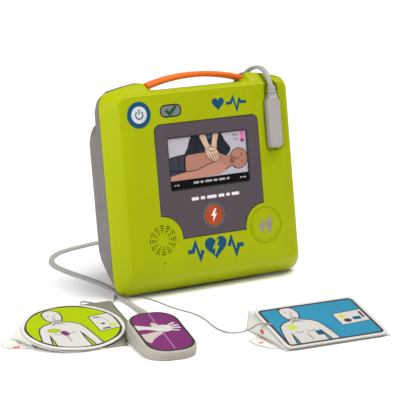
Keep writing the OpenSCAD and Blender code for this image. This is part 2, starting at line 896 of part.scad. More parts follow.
module green_liner() {
    color("whitesmoke") translate([green_at[0], green_at[1], 0]) rotate([0, 0, green_turn])
        translate([0, -green_front * cos(green_tilt), 0]) {
            difference() {
                folded_liner(-oval_a - margin, oval_a + 12, 2 * green_front, green_tilt);
                // Cut away round the sensor's back corner
                translate([0, 0, -1]) linear_extrude(height = 40)
                    polygon([[42, -1], [42, 12], [43.5, 19], [48.5, 26], [56, 31], [70, 33], [70, -1]]);
            }
            block(-oval_a - margin - flap, -oval_a - margin, 4, 80, 0, leaf_t);
        }
}

blue_w = square_w + 2 * margin;
blue_l = square_l + 2 * margin;

module blue_plate(t0, t1, grow) {
    translate([0, 0, t0]) linear_extrude(height = t1 - t0)
        rrect(margin - grow, blue_w - margin + grow, margin - grow, blue_l - margin + grow, 5 + grow / 2);
}

module blue_pad() {
    color("deepskyblue") laid(blue_at, blue_turn, blue_tilt, leaf_t + 0.2)
        blue_plate(gel_t + 0.1, gel_t + foam_t + 0.1, margin);
}

module blue_gel() {
    color("lightblue") laid(blue_at, blue_turn, blue_tilt, leaf_t + 0.2) blue_plate(0.1, gel_t + 0.1, -2);
}

module blue_liner() {
    color("whitesmoke") translate([blue_at[0], blue_at[1], 0]) rotate([0, 0, blue_turn]) {
        folded_liner(0, blue_w, blue_l + 4, blue_tilt);
        block(-flap, 0, 6, 60, 0, leaf_t);
    }
}

module sensor_plate(t0, t1, grow) {
    translate([0, 0, t0]) linear_extrude(height = t1 - t0)
        rrect(-grow, sensor_w + grow, -grow, sensor_l + grow, sensor_r + grow);
}

module in_sensor() {
    laid(sensor_at, sensor_turn, sensor_tilt, 0) children();
}

// The base is a wedge: flat on the floor, with its top tilted
module sensor_base() {
    color("whitesmoke") difference() {
        in_sensor() difference() {
            sensor_plate(-30, sensor_t - 1.2, sensor_flare);
            sensor_plate(sensor_t - 6, sensor_t, -2);
        }
        block(-400, 0, -400, 0, -60, 0);
    }
}

module sensor_top() {
    color("purple") in_sensor() {
        sensor_plate(sensor_t - 1.2, sensor_t, 0);
        sensor_plate(sensor_t - 2.6, sensor_t - 1.2, -2);
    }
}

module sensor_board() {
    color("darkgreen") in_sensor() sensor_plate(sensor_t - 5.6, sensor_t - 4, -4);
}

front_case();
rear_case();
case_gasket();
handle_grip();
handle_core();
fascia_panel();
display_window();
lcd_module();
power_ring();
power_button();
status_window();
shock_ring();
shock_button();
child_button();
interface_board();
button_switches();
speaker();
speaker_gasket();
microphone();
plug_socket();
main_board();
board_standoffs();
board_screws();
hv_capacitor();
charger_transformer();
discharge_inductor();
transfer_relay();
clock_cell();
battery_pack();
battery_latch();
battery_terminals();
storage_lid();
lid_pin();
usb_socket();
usb_cover();
case_screws();
feet();
pad_plug();
plug_relief();
lead_upper();
lead_coil();
coil_tie();
lead_lower();
green_lead();
blue_lead();
sensor_top();
sensor_base();
sensor_board();
green_pad();
green_gel();
green_liner();
blue_pad();
blue_gel();
blue_liner();
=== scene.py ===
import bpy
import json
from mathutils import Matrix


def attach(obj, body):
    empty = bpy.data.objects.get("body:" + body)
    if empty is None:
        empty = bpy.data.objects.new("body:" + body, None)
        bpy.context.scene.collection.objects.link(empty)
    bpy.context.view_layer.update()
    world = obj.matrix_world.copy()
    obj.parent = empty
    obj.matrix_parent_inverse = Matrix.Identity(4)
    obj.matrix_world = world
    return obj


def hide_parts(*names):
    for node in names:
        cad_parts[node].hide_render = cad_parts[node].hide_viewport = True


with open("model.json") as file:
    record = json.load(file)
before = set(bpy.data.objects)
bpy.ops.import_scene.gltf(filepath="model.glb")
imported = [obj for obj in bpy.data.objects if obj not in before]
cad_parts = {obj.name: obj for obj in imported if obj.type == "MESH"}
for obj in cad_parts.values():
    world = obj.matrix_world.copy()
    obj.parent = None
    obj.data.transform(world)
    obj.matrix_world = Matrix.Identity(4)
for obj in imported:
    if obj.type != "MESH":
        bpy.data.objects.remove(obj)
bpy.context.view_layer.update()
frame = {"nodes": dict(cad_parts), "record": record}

import json
from math import asin, cos, degrees, dist, inf, pi, radians, sin, sqrt, tan

import bmesh
import bpy
from mathutils import Matrix, Vector
from mathutils.geometry import tessellate_polygon

MM = 0.001
scene = bpy.context.scene

# ---- frames


def mm(x, y, z=0.0):
    """A point given in millimetres."""
    return Vector((x, y, z)) * MM


LEAN = radians(9.2)
SHIFT_Y = 66.392 * MM      # how far the face frame's origin lies in front of the row frame's
LIFT = 5.7 * MM
FACE = Matrix.Translation((0, -SHIFT_Y, LIFT)) @ Matrix.Rotation(-LEAN, 4, "X")


def laid(at, turn, tilt, rise):
    """The frame of an electrode: its place, turn, tilt and rise, in millimetres and degrees."""
    return (Matrix.Translation(mm(*at, rise)) @ Matrix.Rotation(radians(turn), 4, "Z")
            @ Matrix.Rotation(radians(tilt), 4, "X"))


# ---- camera

AZIMUTH, ELEVATION, DISTANCE = radians(30.547), radians(13.748), 1.9386
FOCAL_MM, SENSOR_MM, NEAREST, FARTHEST = 162, 36, 0.05, 20
target = Vector((-0.02468, -0.0662, 0.10372))
back = Vector((-sin(AZIMUTH) * cos(ELEVATION), -cos(AZIMUTH) * cos(ELEVATION),
               sin(ELEVATION)))
camera = bpy.data.objects.new("camera", bpy.data.cameras.new("camera"))
scene.collection.objects.link(camera)
camera.location = target + DISTANCE * back
camera.rotation_euler = back.to_track_quat("Z", "Y").to_euler()
camera.data.lens = FOCAL_MM
camera.data.sensor_width = SENSOR_MM
camera.data.clip_start, camera.data.clip_end = NEAREST, FARTHEST
scene.camera = camera
scene.view_settings.view_transform = "Standard"

# ---- curves


def between(a, b, c, d, t):
    """A point between b and c on the rounded line that also passes a and d."""
    return 0.5 * (2 * b + (c - a) * t + (2 * a - 5 * b + 4 * c - d) * t * t
                  + (3 * b - a - 3 * c + d) * t ** 3)


def smooth(points, steps, closed=False):
    """A rounded line through the points."""
    p = [Vector(q) for q in points]
    n = len(p)
    out = []
    for i in range(n if closed else n - 1):
        near = [p[(i + k) % n] if closed else p[min(max(i + k, 0), n - 1)] for k in (-1, 0, 1, 2)]
        out += [between(*near, j / steps) for j in range(steps)]
    return out if closed else out + [p[-1]]


def even(points, gap):
    """The same line with its points a steady gap apart."""
    out, left = [points[0].copy()], gap
    for a, b in zip(points, points[1:]):
        step = (b - a).length
        done = 0.0
        while step - done >= left:
            done += left
            out.append(a.lerp(b, done / step))
            left = gap
        left -= step - done
    if (points[-1] - out[-1]).length > gap * 0.3:
        out.append(points[-1].copy())
    else:
        out[-1] = points[-1].copy()
    return out


def eased(share):
    """The share held between 0 and 1, with a soft start and end."""
    share = min(max(share, 0), 1)
    return share * share * (3 - 2 * share)


# ---- materials

FINISHES = {}


def linear(value):
    """A display value from 0 to 255, made linear."""
    c = value / 255
    return c / 12.92 if c <= 0.04045 else ((c + 0.055) / 1.055) ** 2.4


def put(node, inputs):
    """Set inputs of a shader node by name."""
    for socket, value in inputs.items():
        node.inputs[socket].default_value = value


def finish_of(name, color, rough=0.45, grain=(900, 0.02), mottle=0.05, rough_spread=0.08, metallic=0.0,
              coat=0.0, soft=0.0, glow=0.0, alpha=1.0, scuff=0.0, weave=0.0, shine=0.25):
    """A procedural finish of a display colour: broad mottling, fine grain, worn patches, uneven gloss."""
    color = [linear(value) for value in color]
    mat = bpy.data.materials.new(name)
    mat.use_nodes = True
    nodes, links = mat.node_tree.nodes, mat.node_tree.links
    shader = nodes["Principled BSDF"]
    put(shader, {"Metallic": metallic, "Specular IOR Level": shine, "Alpha": alpha, "Coat Weight": coat,
                 "Coat Roughness": 0.12, "Subsurface Weight": soft, "Subsurface Scale": 0.002})
    place = nodes.new("ShaderNodeTexCoord")

    def noise(scale, detail=3.0):
        n = nodes.new("ShaderNodeTexNoise")
        put(n, {"Scale": scale, "Detail": detail})
        links.new(place.outputs["Object"], n.inputs["Vector"])
        return n.outputs["Fac"]

    def spread(value, low, high, start=0.3, end=0.7):
        m = nodes.new("ShaderNodeMapRange")
        put(m, {"From Min": start, "From Max": end, "To Min": low, "To Max": high})
        links.new(value, m.inputs["Value"])
        return m.outputs["Result"]

    def mix(factor, a, b):
        m = nodes.new("ShaderNodeMix")
        m.data_type = "RGBA"
        links.new(factor, m.inputs["Factor"])
        for socket, value in ((m.inputs[6], a), (m.inputs[7], b)):
            if isinstance(value, tuple):
                socket.default_value = value
            else:
                links.new(value, socket)
        return m.outputs[2]

    dark = tuple(c * (1 - mottle) for c in color) + (1,)
    light = tuple(min(1, c * (1 + mottle)) for c in color) + (1,)
    paint = mix(spread(noise(14), 0, 1), dark, light)
    if scuff:
        worn = tuple(c * 0.6 + 0.25 for c in color) + (1,)
        paint = mix(spread(noise(260, 6), 0, scuff, 0.62, 0.72), paint, worn)
    links.new(paint, shader.inputs["Base Color"])
    if glow:
        links.new(paint, shader.inputs["Emission Color"])
        shader.inputs["Emission Strength"].default_value = glow
    links.new(spread(noise(55), max(0.02, rough - rough_spread), min(1, rough + rough_spread)),
              shader.inputs["Roughness"])
    height = noise(grain[0], 2)
    if weave:
        waves = []
        for axis in ("X", "Y"):
            w = nodes.new("ShaderNodeTexWave")
            w.bands_direction = axis
            put(w, {"Scale": weave, "Distortion": 0.6})
            links.new(place.outputs["Object"], w.inputs["Vector"])
            waves.append(w.outputs["Fac"])
        both = nodes.new("ShaderNodeMath")
        both.operation = "MULTIPLY"
        links.new(waves[0], both.inputs[0])
        links.new(waves[1], both.inputs[1])
        height = both.outputs["Value"]
    bump = nodes.new("ShaderNodeBump")
    put(bump, {"Strength": grain[1] * 10, "Distance": 0.0001})
    links.new(height, bump.inputs["Height"])
    links.new(bump.outputs["Normal"], shader.inputs["Normal"])
    FINISHES[name] = mat
    return mat


def print_ink(name, color, mottle=0.05):
    """A flat ink printed on a pad."""
    return finish_of(name, color, 0.55, (1400, 0.05), mottle)


def screen_ink(name, color, glow=0.12, mottle=0.04):
    """A flat colour of the screen's picture, faintly lit."""
    return finish_of(name, color, 0.5, (1500, 0.0), mottle, glow=glow, shine=0.05)


GREEN = finish_of("shell_green", (158, 168, 0), 0.4, (1500, 0.05), 0.03, scuff=0.02, shine=0.1)
GREY = finish_of("shell_grey", (106, 100, 97), 0.5, (1300, 0.12), 0.04, scuff=0.1)
CHARCOAL = finish_of("panel_charcoal", (78, 69, 75), 0.48, (1800, 0.05), 0.04)
finish_of("grip_orange", (228, 104, 28), 0.5, (1100, 0.12), 0.05, shine=0.12)
BLACK = finish_of("rubber_black", (34, 32, 34), 0.7, (1000, 0.15), 0.1)
finish_of("ring_blue", (0, 72, 104), 0.3, (1500, 0.03), 0.04, coat=0.2)
finish_of("button_white", (196, 201, 208), 0.32, (1500, 0.03), 0.03, coat=0.2)
LENS = finish_of("status_lens", (114, 117, 118), 0.25, (1500, 0.03), 0.05, coat=0.4)
RIM = finish_of("dark_rim", (46, 38, 40), 0.5, (1500, 0.05), 0.05)
finish_of("ring_pale", (96, 88, 92), 0.35, (1500, 0.04), 0.05, coat=0.2)
SHOCK = finish_of("shock_orange", (166, 66, 18), 0.33, (1200, 0.04), 0.08, coat=0.3, soft=0.05)
MARK = finish_of("mark_blue", (0, 70, 104), 0.4, (1500, 0.04), 0.04)
TICK = finish_of("mark_green", (0, 76, 36), 0.4, (1500, 0.04), 0.05)
# Pale print for the panel bars and the lid label; the same colour also paints the highlight arc on the shock
# ring.
PALE_MARK_AND_HIGHLIGHT = finish_of("mark_pale", (226, 220, 224), 0.45, (1500, 0.04), 0.04)
GREY_MARK = finish_of("mark_grey", (142, 132, 130), 0.5, (1500, 0.05), 0.06)
finish_of("plug_grey", (166, 161, 158), 0.42, (1300, 0.08), 0.03, scuff=0.05)
THIN_LEAD = finish_of("thin_lead_grey", (150, 147, 142), 0.45, (1400, 0.06), 0.03)
LEAD = finish_of("lead_grey", (160, 157, 153), 0.45, (1400, 0.06), 0.03)
finish_of("board_green", (22, 84, 48), 0.35, (600, 0.1), 0.12)
finish_of("metal_silver", (176, 176, 180), 0.28, (2500, 0.1), 0.04, metallic=1.0)
finish_of("metal_gold", (206, 170, 92), 0.3, (2500, 0.08), 0.04, metallic=1.0)
finish_of("core_aluminium", (186, 188, 192), 0.35, (2500, 0.1), 0.04, metallic=1.0)
finish_of("capacitor_blue", (40, 66, 120), 0.3, (900, 0.05), 0.08, coat=0.2)
finish_of("ferrite_dark", (48, 48, 52), 0.6, (900, 0.2), 0.12)
finish_of("copper_wire", (176, 98, 56), 0.32, (1700, 0.2), 0.08, metallic=0.9)
finish_of("relay_white", (206, 206, 202), 0.45, (1200, 0.06), 0.03)
finish_of("battery_grey", (84, 80, 84), 0.55, (1000, 0.14), 0.06, scuff=0.12)
finish_of("latch_orange", (214, 104, 38), 0.42, (1200, 0.06), 0.05)
PAD_GREEN = finish_of("pad_green", (148, 168, 0), 0.6, (1400, 0.08), 0.04, weave=420, shine=0.06)
PAD_BLUE = finish_of("pad_blue", (42, 124, 154), 0.6, (1400, 0.08), 0.04, weave=420, shine=0.1)
GEL = finish_of("gel_clear", (196, 208, 214), 0.2, (700, 0.06), 0.05, coat=0.3)
LINER = finish_of("liner_white", (214, 213, 206), 0.34, (500, 0.05), 0.03, coat=0.15)
FOAM = finish_of("foam_white", (192, 190, 184), 0.75, (900, 0.2), 0.04)
PURPLE = finish_of("sensor_purple", (106, 38, 94), 0.45, (1400, 0.06), 0.05, shine=0.12)
SENSOR = finish_of("sensor_white", (164, 158, 148), 0.55, (900, 0.1), 0.04, scuff=0.05)
OUTLINE = print_ink("print_outline", (50, 42, 44))
FIGURE = print_ink("print_figure", (184, 179, 175), 0.03)
RED_MARK = print_ink("print_red", (214, 74, 62), 0.08)
PAD_SPOT = print_ink("print_spot", (172, 184, 60))
finish_of("screen_body", (40, 40, 44), 0.3, (1500, 0.03), 0.05, shine=0.05)
SCREEN_PALE = screen_ink("screen_pale", (186, 180, 190), mottle=0.02)
SCREEN_SKIN = screen_ink("screen_skin", (176, 122, 104))
SCREEN_HAND = screen_ink("screen_hand", (206, 170, 146))
SCREEN_DARK = screen_ink("screen_dark", (38, 40, 50), 0.05)
SCREEN_SLATE = screen_ink("screen_slate", (58, 60, 72), 0.05, 0.05)
SCREEN_BLACK = finish_of("screen_black", (12, 11, 12), 0.4, (1500, 0.0), 0.04, shine=0.05)
SCREEN_PINK = screen_ink("screen_pink", (212, 108, 160), 0.15)
SCREEN_PLUM = screen_ink("screen_plum", (128, 58, 104), 0.1)
SCREEN_SKIN_2 = screen_ink("screen_skin_2", (190, 134, 116))
SCREEN_TEAL = screen_ink("screen_teal", (40, 92, 112), 0.08)
SCREEN_CHIP = screen_ink("screen_chip", (170, 166, 164), 0.1)
SCREEN_GREY = screen_ink("screen_grey", (142, 134, 146), 0.1)
DARK_MARK = finish_of("mark_dark", (52, 52, 58), 0.5, (1500, 0.04), 0.05)
LINER_BACK = finish_of("liner_back", (112, 109, 98), 0.4, (500, 0.05), 0.04, coat=0.1)
FIGURE_2 = print_ink("print_figure_2", (170, 160, 152), 0.03)
SENSOR_DOT = finish_of("sensor_dot", (196, 150, 186), 0.5, (1500, 0.04), 0.05)
SCREEN_LINE = screen_ink("screen_line", (34, 22, 18), 0.05)
GLASS = finish_of("screen_glass", (50, 54, 60), 0.06, (1500, 0.0), 0.02, coat=0.5, alpha=0.05,
                  rough_spread=0.02)
BOLT_MARK = finish_of("mark_bolt", (240, 226, 218), 0.4, (1500, 0.03), 0.03)
FLOOR = finish_of("floor_pale", (246, 246, 246), 0.7, (40, 0.004), 0.004)

SLOT_OF = {s["node"]: s["material_slot"] for s in frame["record"]["subparts"]}
BODY_OF = {n: b for b, ns in frame["record"]["behaviour"]["bodies"].items() for n in ns}
for node, obj in frame["nodes"].items():
    obj.data.materials.clear()
    obj.data.materials.append(FINISHES[SLOT_OF[node]])

# ---- building blocks


def piece(name, verts, faces, finishes, body="case", face_finish=None, smooth_faces=False):
    """A mesh in metres that rides on a body, with one finish or one per face."""
    mesh = bpy.data.meshes.new(name)
    mesh.from_pydata([tuple(v) for v in verts], [], faces)
    obj = bpy.data.objects.new(name, mesh)
    scene.collection.objects.link(obj)
    for finish in finishes:
        mesh.materials.append(finish)
    if face_finish:
        mesh.polygons.foreach_set("material_index", face_finish)
    if smooth_faces:
        mesh.polygons.foreach_set("use_smooth", [True] * len(faces))
    mesh.update()
    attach(obj, body)
    return obj


def tidied(obj, sharp=35.0, round_by=0.0):
    """Merges the mesh's doubled points, keeps its sharp edges sharp, and rounds them off a little."""
    mesh = obj.data
    bm = bmesh.new()
    bm.from_mesh(mesh)
    bmesh.ops.remove_doubles(bm, verts=bm.verts, dist=2e-6)
    bmesh.ops.dissolve_limit(bm, angle_limit=radians(0.6), verts=bm.verts, edges=bm.edges)
    for f in bm.faces:
        f.smooth = True
    for e in bm.edges:
        e.smooth = len(e.link_faces) == 2 and e.calc_face_angle(0) < radians(sharp)
    bm.to_mesh(mesh)
    bm.free()
    if round_by:
        bevel = obj.modifiers.new("rounding", "BEVEL")
        bevel.width = round_by * MM
        bevel.segments = 2
        bevel.limit_method = "ANGLE"
        bevel.angle_limit = radians(sharp)
        bevel.harden_normals = True
    return obj


def refined(node, sharp, round_by):
    """A piece made from a CAD node's own shape, with smooth shading and rounded edges."""
    source = frame["nodes"][node]
    mesh = bpy.data.meshes.new(node + "_fine")
    bm = bmesh.new()
    bm.from_mesh(source.data)
    bm.to_mesh(mesh)
    bm.free()
    obj = bpy.data.objects.new(node + "_fine", mesh)
    scene.collection.objects.link(obj)
    mesh.materials.clear()
    mesh.materials.append(FINISHES[SLOT_OF[node]])
    mesh.polygons.foreach_set("material_index", [0] * len(mesh.polygons))
    tidied(obj, sharp, round_by)
    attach(obj, BODY_OF[node])
    shown_for(obj, node)


def shown_for(obj, *nodes):
    """Hides the CAD nodes that the piece is shown in place of, and gives the piece back."""
    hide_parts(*nodes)
    return obj


def ring_points(r, n=48, a=1.0, at=(0, 0)):
    """A circle of n points, or an oval that is a times as tall as it is wide."""
    return [(at[0] + r * cos(2 * pi * k / n), at[1] + r * a * sin(2 * pi * k / n))
            for k in range(n)]


def round_box(x0, x1, y0, y1, r, n=6):
    """A rectangle with rounded corners, as points."""
    out = []
    corners = ((x1 - r, y1 - r, 0), (x0 + r, y1 - r, 90), (x0 + r, y0 + r, 180), (x1 - r, y0 + r, 270))
    for cx, cy, start in corners:
        for k in range(n + 1):
            a = radians(start + 90 * k / n)
            out.append((cx + r * cos(a), cy + r * sin(a)))
    return out


def loop(points, steps=5):
    """A closed rounded outline through a few points."""
    return [(v.x, v.y) for v in smooth([(x, y, 0) for x, y in points], steps, closed=True)]


def stroke(points, width, steps=5, rounded=True):
    """The outline of a line of that width through a few points."""
    line = [Vector((x, y, 0)) for x, y in points]
    if rounded:
        line = smooth(line, steps)
    left, right = [], []
    for i, p in enumerate(line):
        after = (line[min(i + 1, len(line) - 1)] - line[min(i, len(line) - 2)]).normalized()
        before = (line[max(i, 1)] - line[max(i - 1, 0)]).normalized()
        t = (before + after).normalized()
        side = Vector((-t.y, t.x, 0)) * width / 2 / max(t.dot(after), 0.5)
        left.append((p.x + side.x, p.y + side.y))
        right.append((p.x - side.x, p.y - side.y))
    return left + right[::-1]


def moved(points, x=0.0, y=0.0, scale=1.0, turn=0.0):
    """The same outline turned, scaled and then moved."""
    c, s = cos(radians(turn)), sin(radians(turn))
    return [(x + scale * (c * a - s * b), y + scale * (s * a + c * b)) for a, b in points]


def inlay(name, place, shapes, body="case", edge=0.0):
    """Flat printed or moulded shapes in one plane, each (outline, bottom, top, finish), in millimetres.

    An outline may be a list of rings: the outside first, then its holes."""
    finishes, verts, faces, which = [], [], [], []
    for outline, low, high, finish in shapes:
        rings = [outline] if isinstance(outline[0], tuple) else outline
        if finish not in finishes:
            finishes.append(finish)
        flat = [[Vector((x, y, 0)) for x, y in ring] for ring in rings]
        points = [p for ring in flat for p in ring]
        start, count = len(verts), len(points)
        verts += [place @ mm(p.x, p.y, level) for level in (low, high) for p in points]
        made = []
        for a, b, c in tessellate_polygon(flat):
            area = (points[b] - points[a]).cross(points[c] - points[a]).z
            if abs(area) < 1e-7:
                continue
            if area < 0:
                b, c = c, b
            made.append((start + count + a, start + count + b, start + count + c))
            made.append((start + a, start + c, start + b))
        at = start
        for ring in flat:
            n = len(ring)
            area = sum(p.x * q.y - q.x * p.y for p, q in zip(ring, ring[1:] + ring[:1]))
            for k in range(n):
                i, j = at + k, at + (k + 1) % n
                if (area > 0) != (ring is flat[0]):
                    i, j = j, i
                made.append((i, j, j + count, i + count))
            at += n
        faces += made
        which += [finishes.index(finish)] * len(made)
    obj = piece(name, verts, faces, finishes, body, which)
    return tidied(obj, 35.0, edge) if edge else obj


def skin(rings, n, inward=False):
    """The faces of a closed tube through that many rings of n points, end caps last."""
    faces = [(i * n + k, i * n + (k + 1) % n, (i + 1) * n + (k + 1) % n, (i + 1) * n + k)
             for i in range(rings - 1) for k in range(n)]
    faces += [tuple(range(n))[::-1], tuple((rings - 1) * n + k for k in range(n))]
    return [face[::-1] for face in faces] if inward else faces


def sweep(name, path, profile, wide, finish):
    """A closed tube: the profile's first coordinate runs along wide(i, t), its second across it."""
    verts = []
    for i, p in enumerate(path):
        t = (path[min(i + 1, len(path) - 1)] - path[max(i - 1, 0)]).normalized()
        w = wide(i, t)
        w = (w - w.dot(t) * t).normalized()
        h = t.cross(w)
        verts += [p + w * a * MM + h * b * MM for a, b in profile]
    return piece(name, verts, skin(len(path), len(profile)), [finish], smooth_faces=True)


# The face's frame for marks: across, up and out of the face
OUT = FACE @ Matrix(((1, 0, 0, 0), (0, 0, -1, 0), (0, 1, 0, 0), (0, 0, 0, 1)))

# ---- cords

UPPER = [
    (85, -35.5, 212), (85, -31, 219), (85, -25, 226), (85, -16, 230), (85, -6, 230.5),
    (85, 6, 227), (85, 18, 220), (86, 30, 207), (88, 38, 190), (90, 43, 165), (92, 46, 135),
    (94, 49, 105), (96, 53, 75), (98, 59, 48), (101, 69, 24), (103, 84, 9), (105, 100, 3),
]
LOWER = [
    (30, 159, 3), (10, 163.5, 2.6), (-12, 168, 2.2), (-32, 169, 1.8),
    (-55, 164, 1.8), (-72, 159, 1.8), (-88, 152, 1.8), (-100, 142, 1.8), (-109, 129, 1.8),
    (-115, 114, 1.8), (-117, 98, 1.8), (-116, 80, 1.8), (-113, 60, 1.8), (-109, 40, 1.8),
    (-106, 20, 1.8), (-105, 0, 1.8), (-106.5, -24, 1.8), (-111, -46, 1.8), (-113, -66, 1.8),
    (-115, -86, 2.2), (-118, -104, 4), (-124, -121, 7.5), (-131, -137, 12), (-138, -152, 16),
    (-143, -162, 18.7), (-145, -167.5, 19.4),
]
COIL_AT, COIL_TURNS, COIL_STEPS = (70, 118), 2.25, 60
COIL_R, COIL_Z = 37.3, 1.9                      # the first turn's radius and height
STEP_IN, STEP_OUT, STEP_UP = 6.6, 5.5, 3.8      # in to the second turn, then out and up over both
POINT_GAP, THIN_POINT_GAP = 3, 1.6


def coil_points():
    """Two and a quarter turns: one outside, one inside it, and the last stretch over both."""
    out = []
    for k in range(COIL_STEPS + 1):
        turn = COIL_TURNS * k / COIL_STEPS
        angle = 2 * pi * turn
        over = eased((turn - 1.7) / 0.3)
        r = COIL_R - STEP_IN * eased((turn - 0.75) / 0.35) + STEP_OUT * over
        z = COIL_Z + STEP_UP * over
        out.append((COIL_AT[0] + r * cos(angle), COIL_AT[1] + r * sin(angle), z))
    return out


OFF_COIL = [(54, 154.6, 4.6)]        # the first point after the coil, over its turns
main_line = even([p * MM for p in smooth(UPPER + coil_points() + OFF_COIL + LOWER, 6)], POINT_GAP * MM)
# Half of the flat lead's outline, which has a groove along its middle
FLAT_PROFILE = [(3, 0), (2.85, 0.95), (2.3, 1.6), (1.4, 1.75), (0.5, 1.62), (0, 1.5), (-0.5, 1.62),
                (-1.4, 1.75), (-2.3, 1.6), (-2.85, 0.95)]
FLAT_PROFILE += [(-a, -b) for a, b in FLAT_PROFILE]


def lead_wide(i, t):
    """The flat lead's broad side: across the case by the plug and down the back, level elsewhere."""
    level = t.cross(Vector((0, 0, 1)))
    by_case = main_line[i].z > 0.03 and main_line[i].y > -0.05
    return Vector((1, 0, 0)) if by_case or level.length <= 0.05 else level


lead = sweep("main_lead", main_line, FLAT_PROFILE, lead_wide, LEAD)
shown_for(lead, "lead_upper", "lead_coil", "lead_lower")


def thin_lead(name, route, node):
    """A round lead 1.6 mm thick along its route."""
    line = even([p * MM for p in smooth(route, 6)], THIN_POINT_GAP * MM)
    obj = sweep(name, line, ring_points(0.8, 12), lambda i, t: t.cross(Vector((0.1, 0, 1))), THIN_LEAD)
    return shown_for(obj, node), line


green_cord, green_line = thin_lead("oval_pad_lead", [
    (-106.3, -23, 1.8), (-112, -33, 1), (-119, -45, 1.5), (-128, -60, 4.5), (-138.5, -77, 8.5),
    (-151, -87, 12), (-165.5, -91, 16), (-177.5, -92.2, 19.8), (-182.8, -93.5, 21.1),
    (-185.6, -96.5, 20.5), (-187.4, -100.4, 20),
], "green_lead")
blue_cord, blue_line = thin_lead("square_pad_lead", [
    (-106, -22, 1.6), (-101, -30, 0.8), (-95, -38, 0.8), (-90, -48, 0.8), (-86, -59, 0.8),
    (-83, -72, 0.8), (-81, -87, 0.8), (-79, -103, 0.8), (-75, -117, 0.8), (-71, -130, 0.8),
    (-70, -146, 0.8), (-72, -162, 0.8), (-75, -178, 0.8), (-76, -194, 0.8), (-73, -208, 1.5),
    (-68, -219, 4), (-62, -228, 9), (-57, -233, 14), (-51, -238, 16), (-44, -241, 14.6),
], "blue_lead")

# ---- hard pieces

MADE_BY_HAND = {
    "lead_upper", "lead_coil", "lead_lower", "green_lead", "blue_lead", "green_pad", "blue_pad",
    "green_liner", "blue_liner", "green_gel", "blue_gel", "fascia_panel", "shock_button", "coil_tie",
    "sensor_top", "sensor_base", "display_window",
}
ROUNDING = {     # how far each piece's edges are rounded, in millimetres
    "front_case": 0.35, "rear_case": 0.4, "handle_grip": 0.0, "handle_core": 0.0, "power_ring": 0.25,
    "power_button": 0.4, "shock_ring": 0.3, "child_button": 0.35, "pad_plug": 0.7, "plug_relief": 0.45,
    "battery_pack": 0.5, "battery_latch": 0.35, "storage_lid": 0.5, "feet": 0.5, "case_screws": 0.2,
    "usb_cover": 0.3, "hv_capacitor": 0.8, "charger_transformer": 0.6, "discharge_inductor": 1.5,
    "transfer_relay": 0.5, "clock_cell": 0.3, "case_gasket": 0.0, "lid_pin": 0.15, "status_window": 0.2,
}
for node in frame["nodes"]:
    if node not in MADE_BY_HAND:
        refined(node, 32.0, ROUNDING.get(node, 0.1))

# ---- the face

DARK_LINE = 0.9      # the dark edge round the panel
SCOOP_AT, SCOOP_R = (65.3, 57.3), 25
POWER_AT, SHOCK_AT = (-82, 194), (0, 76.5)
SCREEN_AT, SCREEN_W, SCREEN_H = (-49.1, 109.38), 98.2, 55.24


def arc(at, r, start, end, n=24):
    """Points along an arc, from one angle to another in degrees."""
    return [(at[0] + r * cos(radians(start + (end - start) * k / n)),
             at[1] + r * sin(radians(start + (end - start) * k / n))) for k in range(n + 1)]


def panel_outline(inset):
    """The charcoal panel: a rounded sheet with a scoop round the speaker and the child button."""
    half, low, high, r = 65.5 - inset, 55.3 + inset, 181.5 - inset, 8 - inset
    scoop = SCOOP_R + inset
    right = degrees(asin((low - SCOOP_AT[1]) / scoop))
    out = arc(SCOOP_AT, scoop, 180 - right, 90)
    out += arc((half - r, high - r), r, 0, 90, 10)
    out += arc((-half + r, high - r), r, 90, 180, 10)
    out += arc((-SCOOP_AT[0], SCOOP_AT[1]), scoop, 90, right)
    return out


def round_screen(grow, r):
    """A rounded rectangle round the screen, that much larger than it on each side."""
    x, y = SCREEN_AT
    return round_box(x - grow, x + SCREEN_W + grow, y - grow, y + SCREEN_H + grow, r)


WINDOW = round_screen(0.6, 1.9)
SHOCK_HOLE = ring_points(14.05, 64, at=SHOCK_AT)
panel = inlay("fascia_panel_moulding", OUT, [
    ([panel_outline(0), WINDOW, SHOCK_HOLE], -1.8, -0.24, CHARCOAL),
    ([panel_outline(0), panel_outline(DARK_LINE)], -0.24, -0.2, RIM),
    ([panel_outline(DARK_LINE), WINDOW, SHOCK_HOLE], -0.24, -0.2, CHARCOAL),
    ([round_screen(1.6, 2.6), WINDOW], -0.2, -0.12, RIM),
])
shown_for(panel, "fascia_panel")
pane = inlay("display_window_pane", OUT, [(round_screen(0, 1.5), -1.5, -0.4, GLASS)])
shown_for(pane, "display_window")

# The floor of the channel that the lead leaves by, above the plug
CHANNEL = [(77.6, 198.6), (92.8, 198.6), (92.8, 214), (77.6, 214)]
inlay("lead_channel_floor", OUT, [(CHANNEL, -5.0, -4.3, GREEN)])


def mirrored(half):
    """The points, and then their mirror image on the way back."""
    return half + [(-x, y) for x, y in reversed(half)]


def heart(size):
    """A heart about that tall, round the origin."""
    out = []
    for k in range(48):
        a = 2 * pi * k / 48
        x = 16 * sin(a) ** 3
        y = 13 * cos(a) - 5 * cos(2 * a) - 2 * cos(3 * a) - cos(4 * a)
        out.append((x * size / 30, (y + 2.5) * size / 30))
    return out


BOLT = [(1.4, 7.2), (-3.7, -0.5), (-0.7, -0.5), (-1.9, -7.2), (3.9, 1.5), (0.8, 1.5), (3.6, 7.2)]
PULSE = [(0, 0), (5, 0), (7.2, 4.6), (10.4, -6.2), (13.2, 2.4), (14.6, 0), (20, 0)]

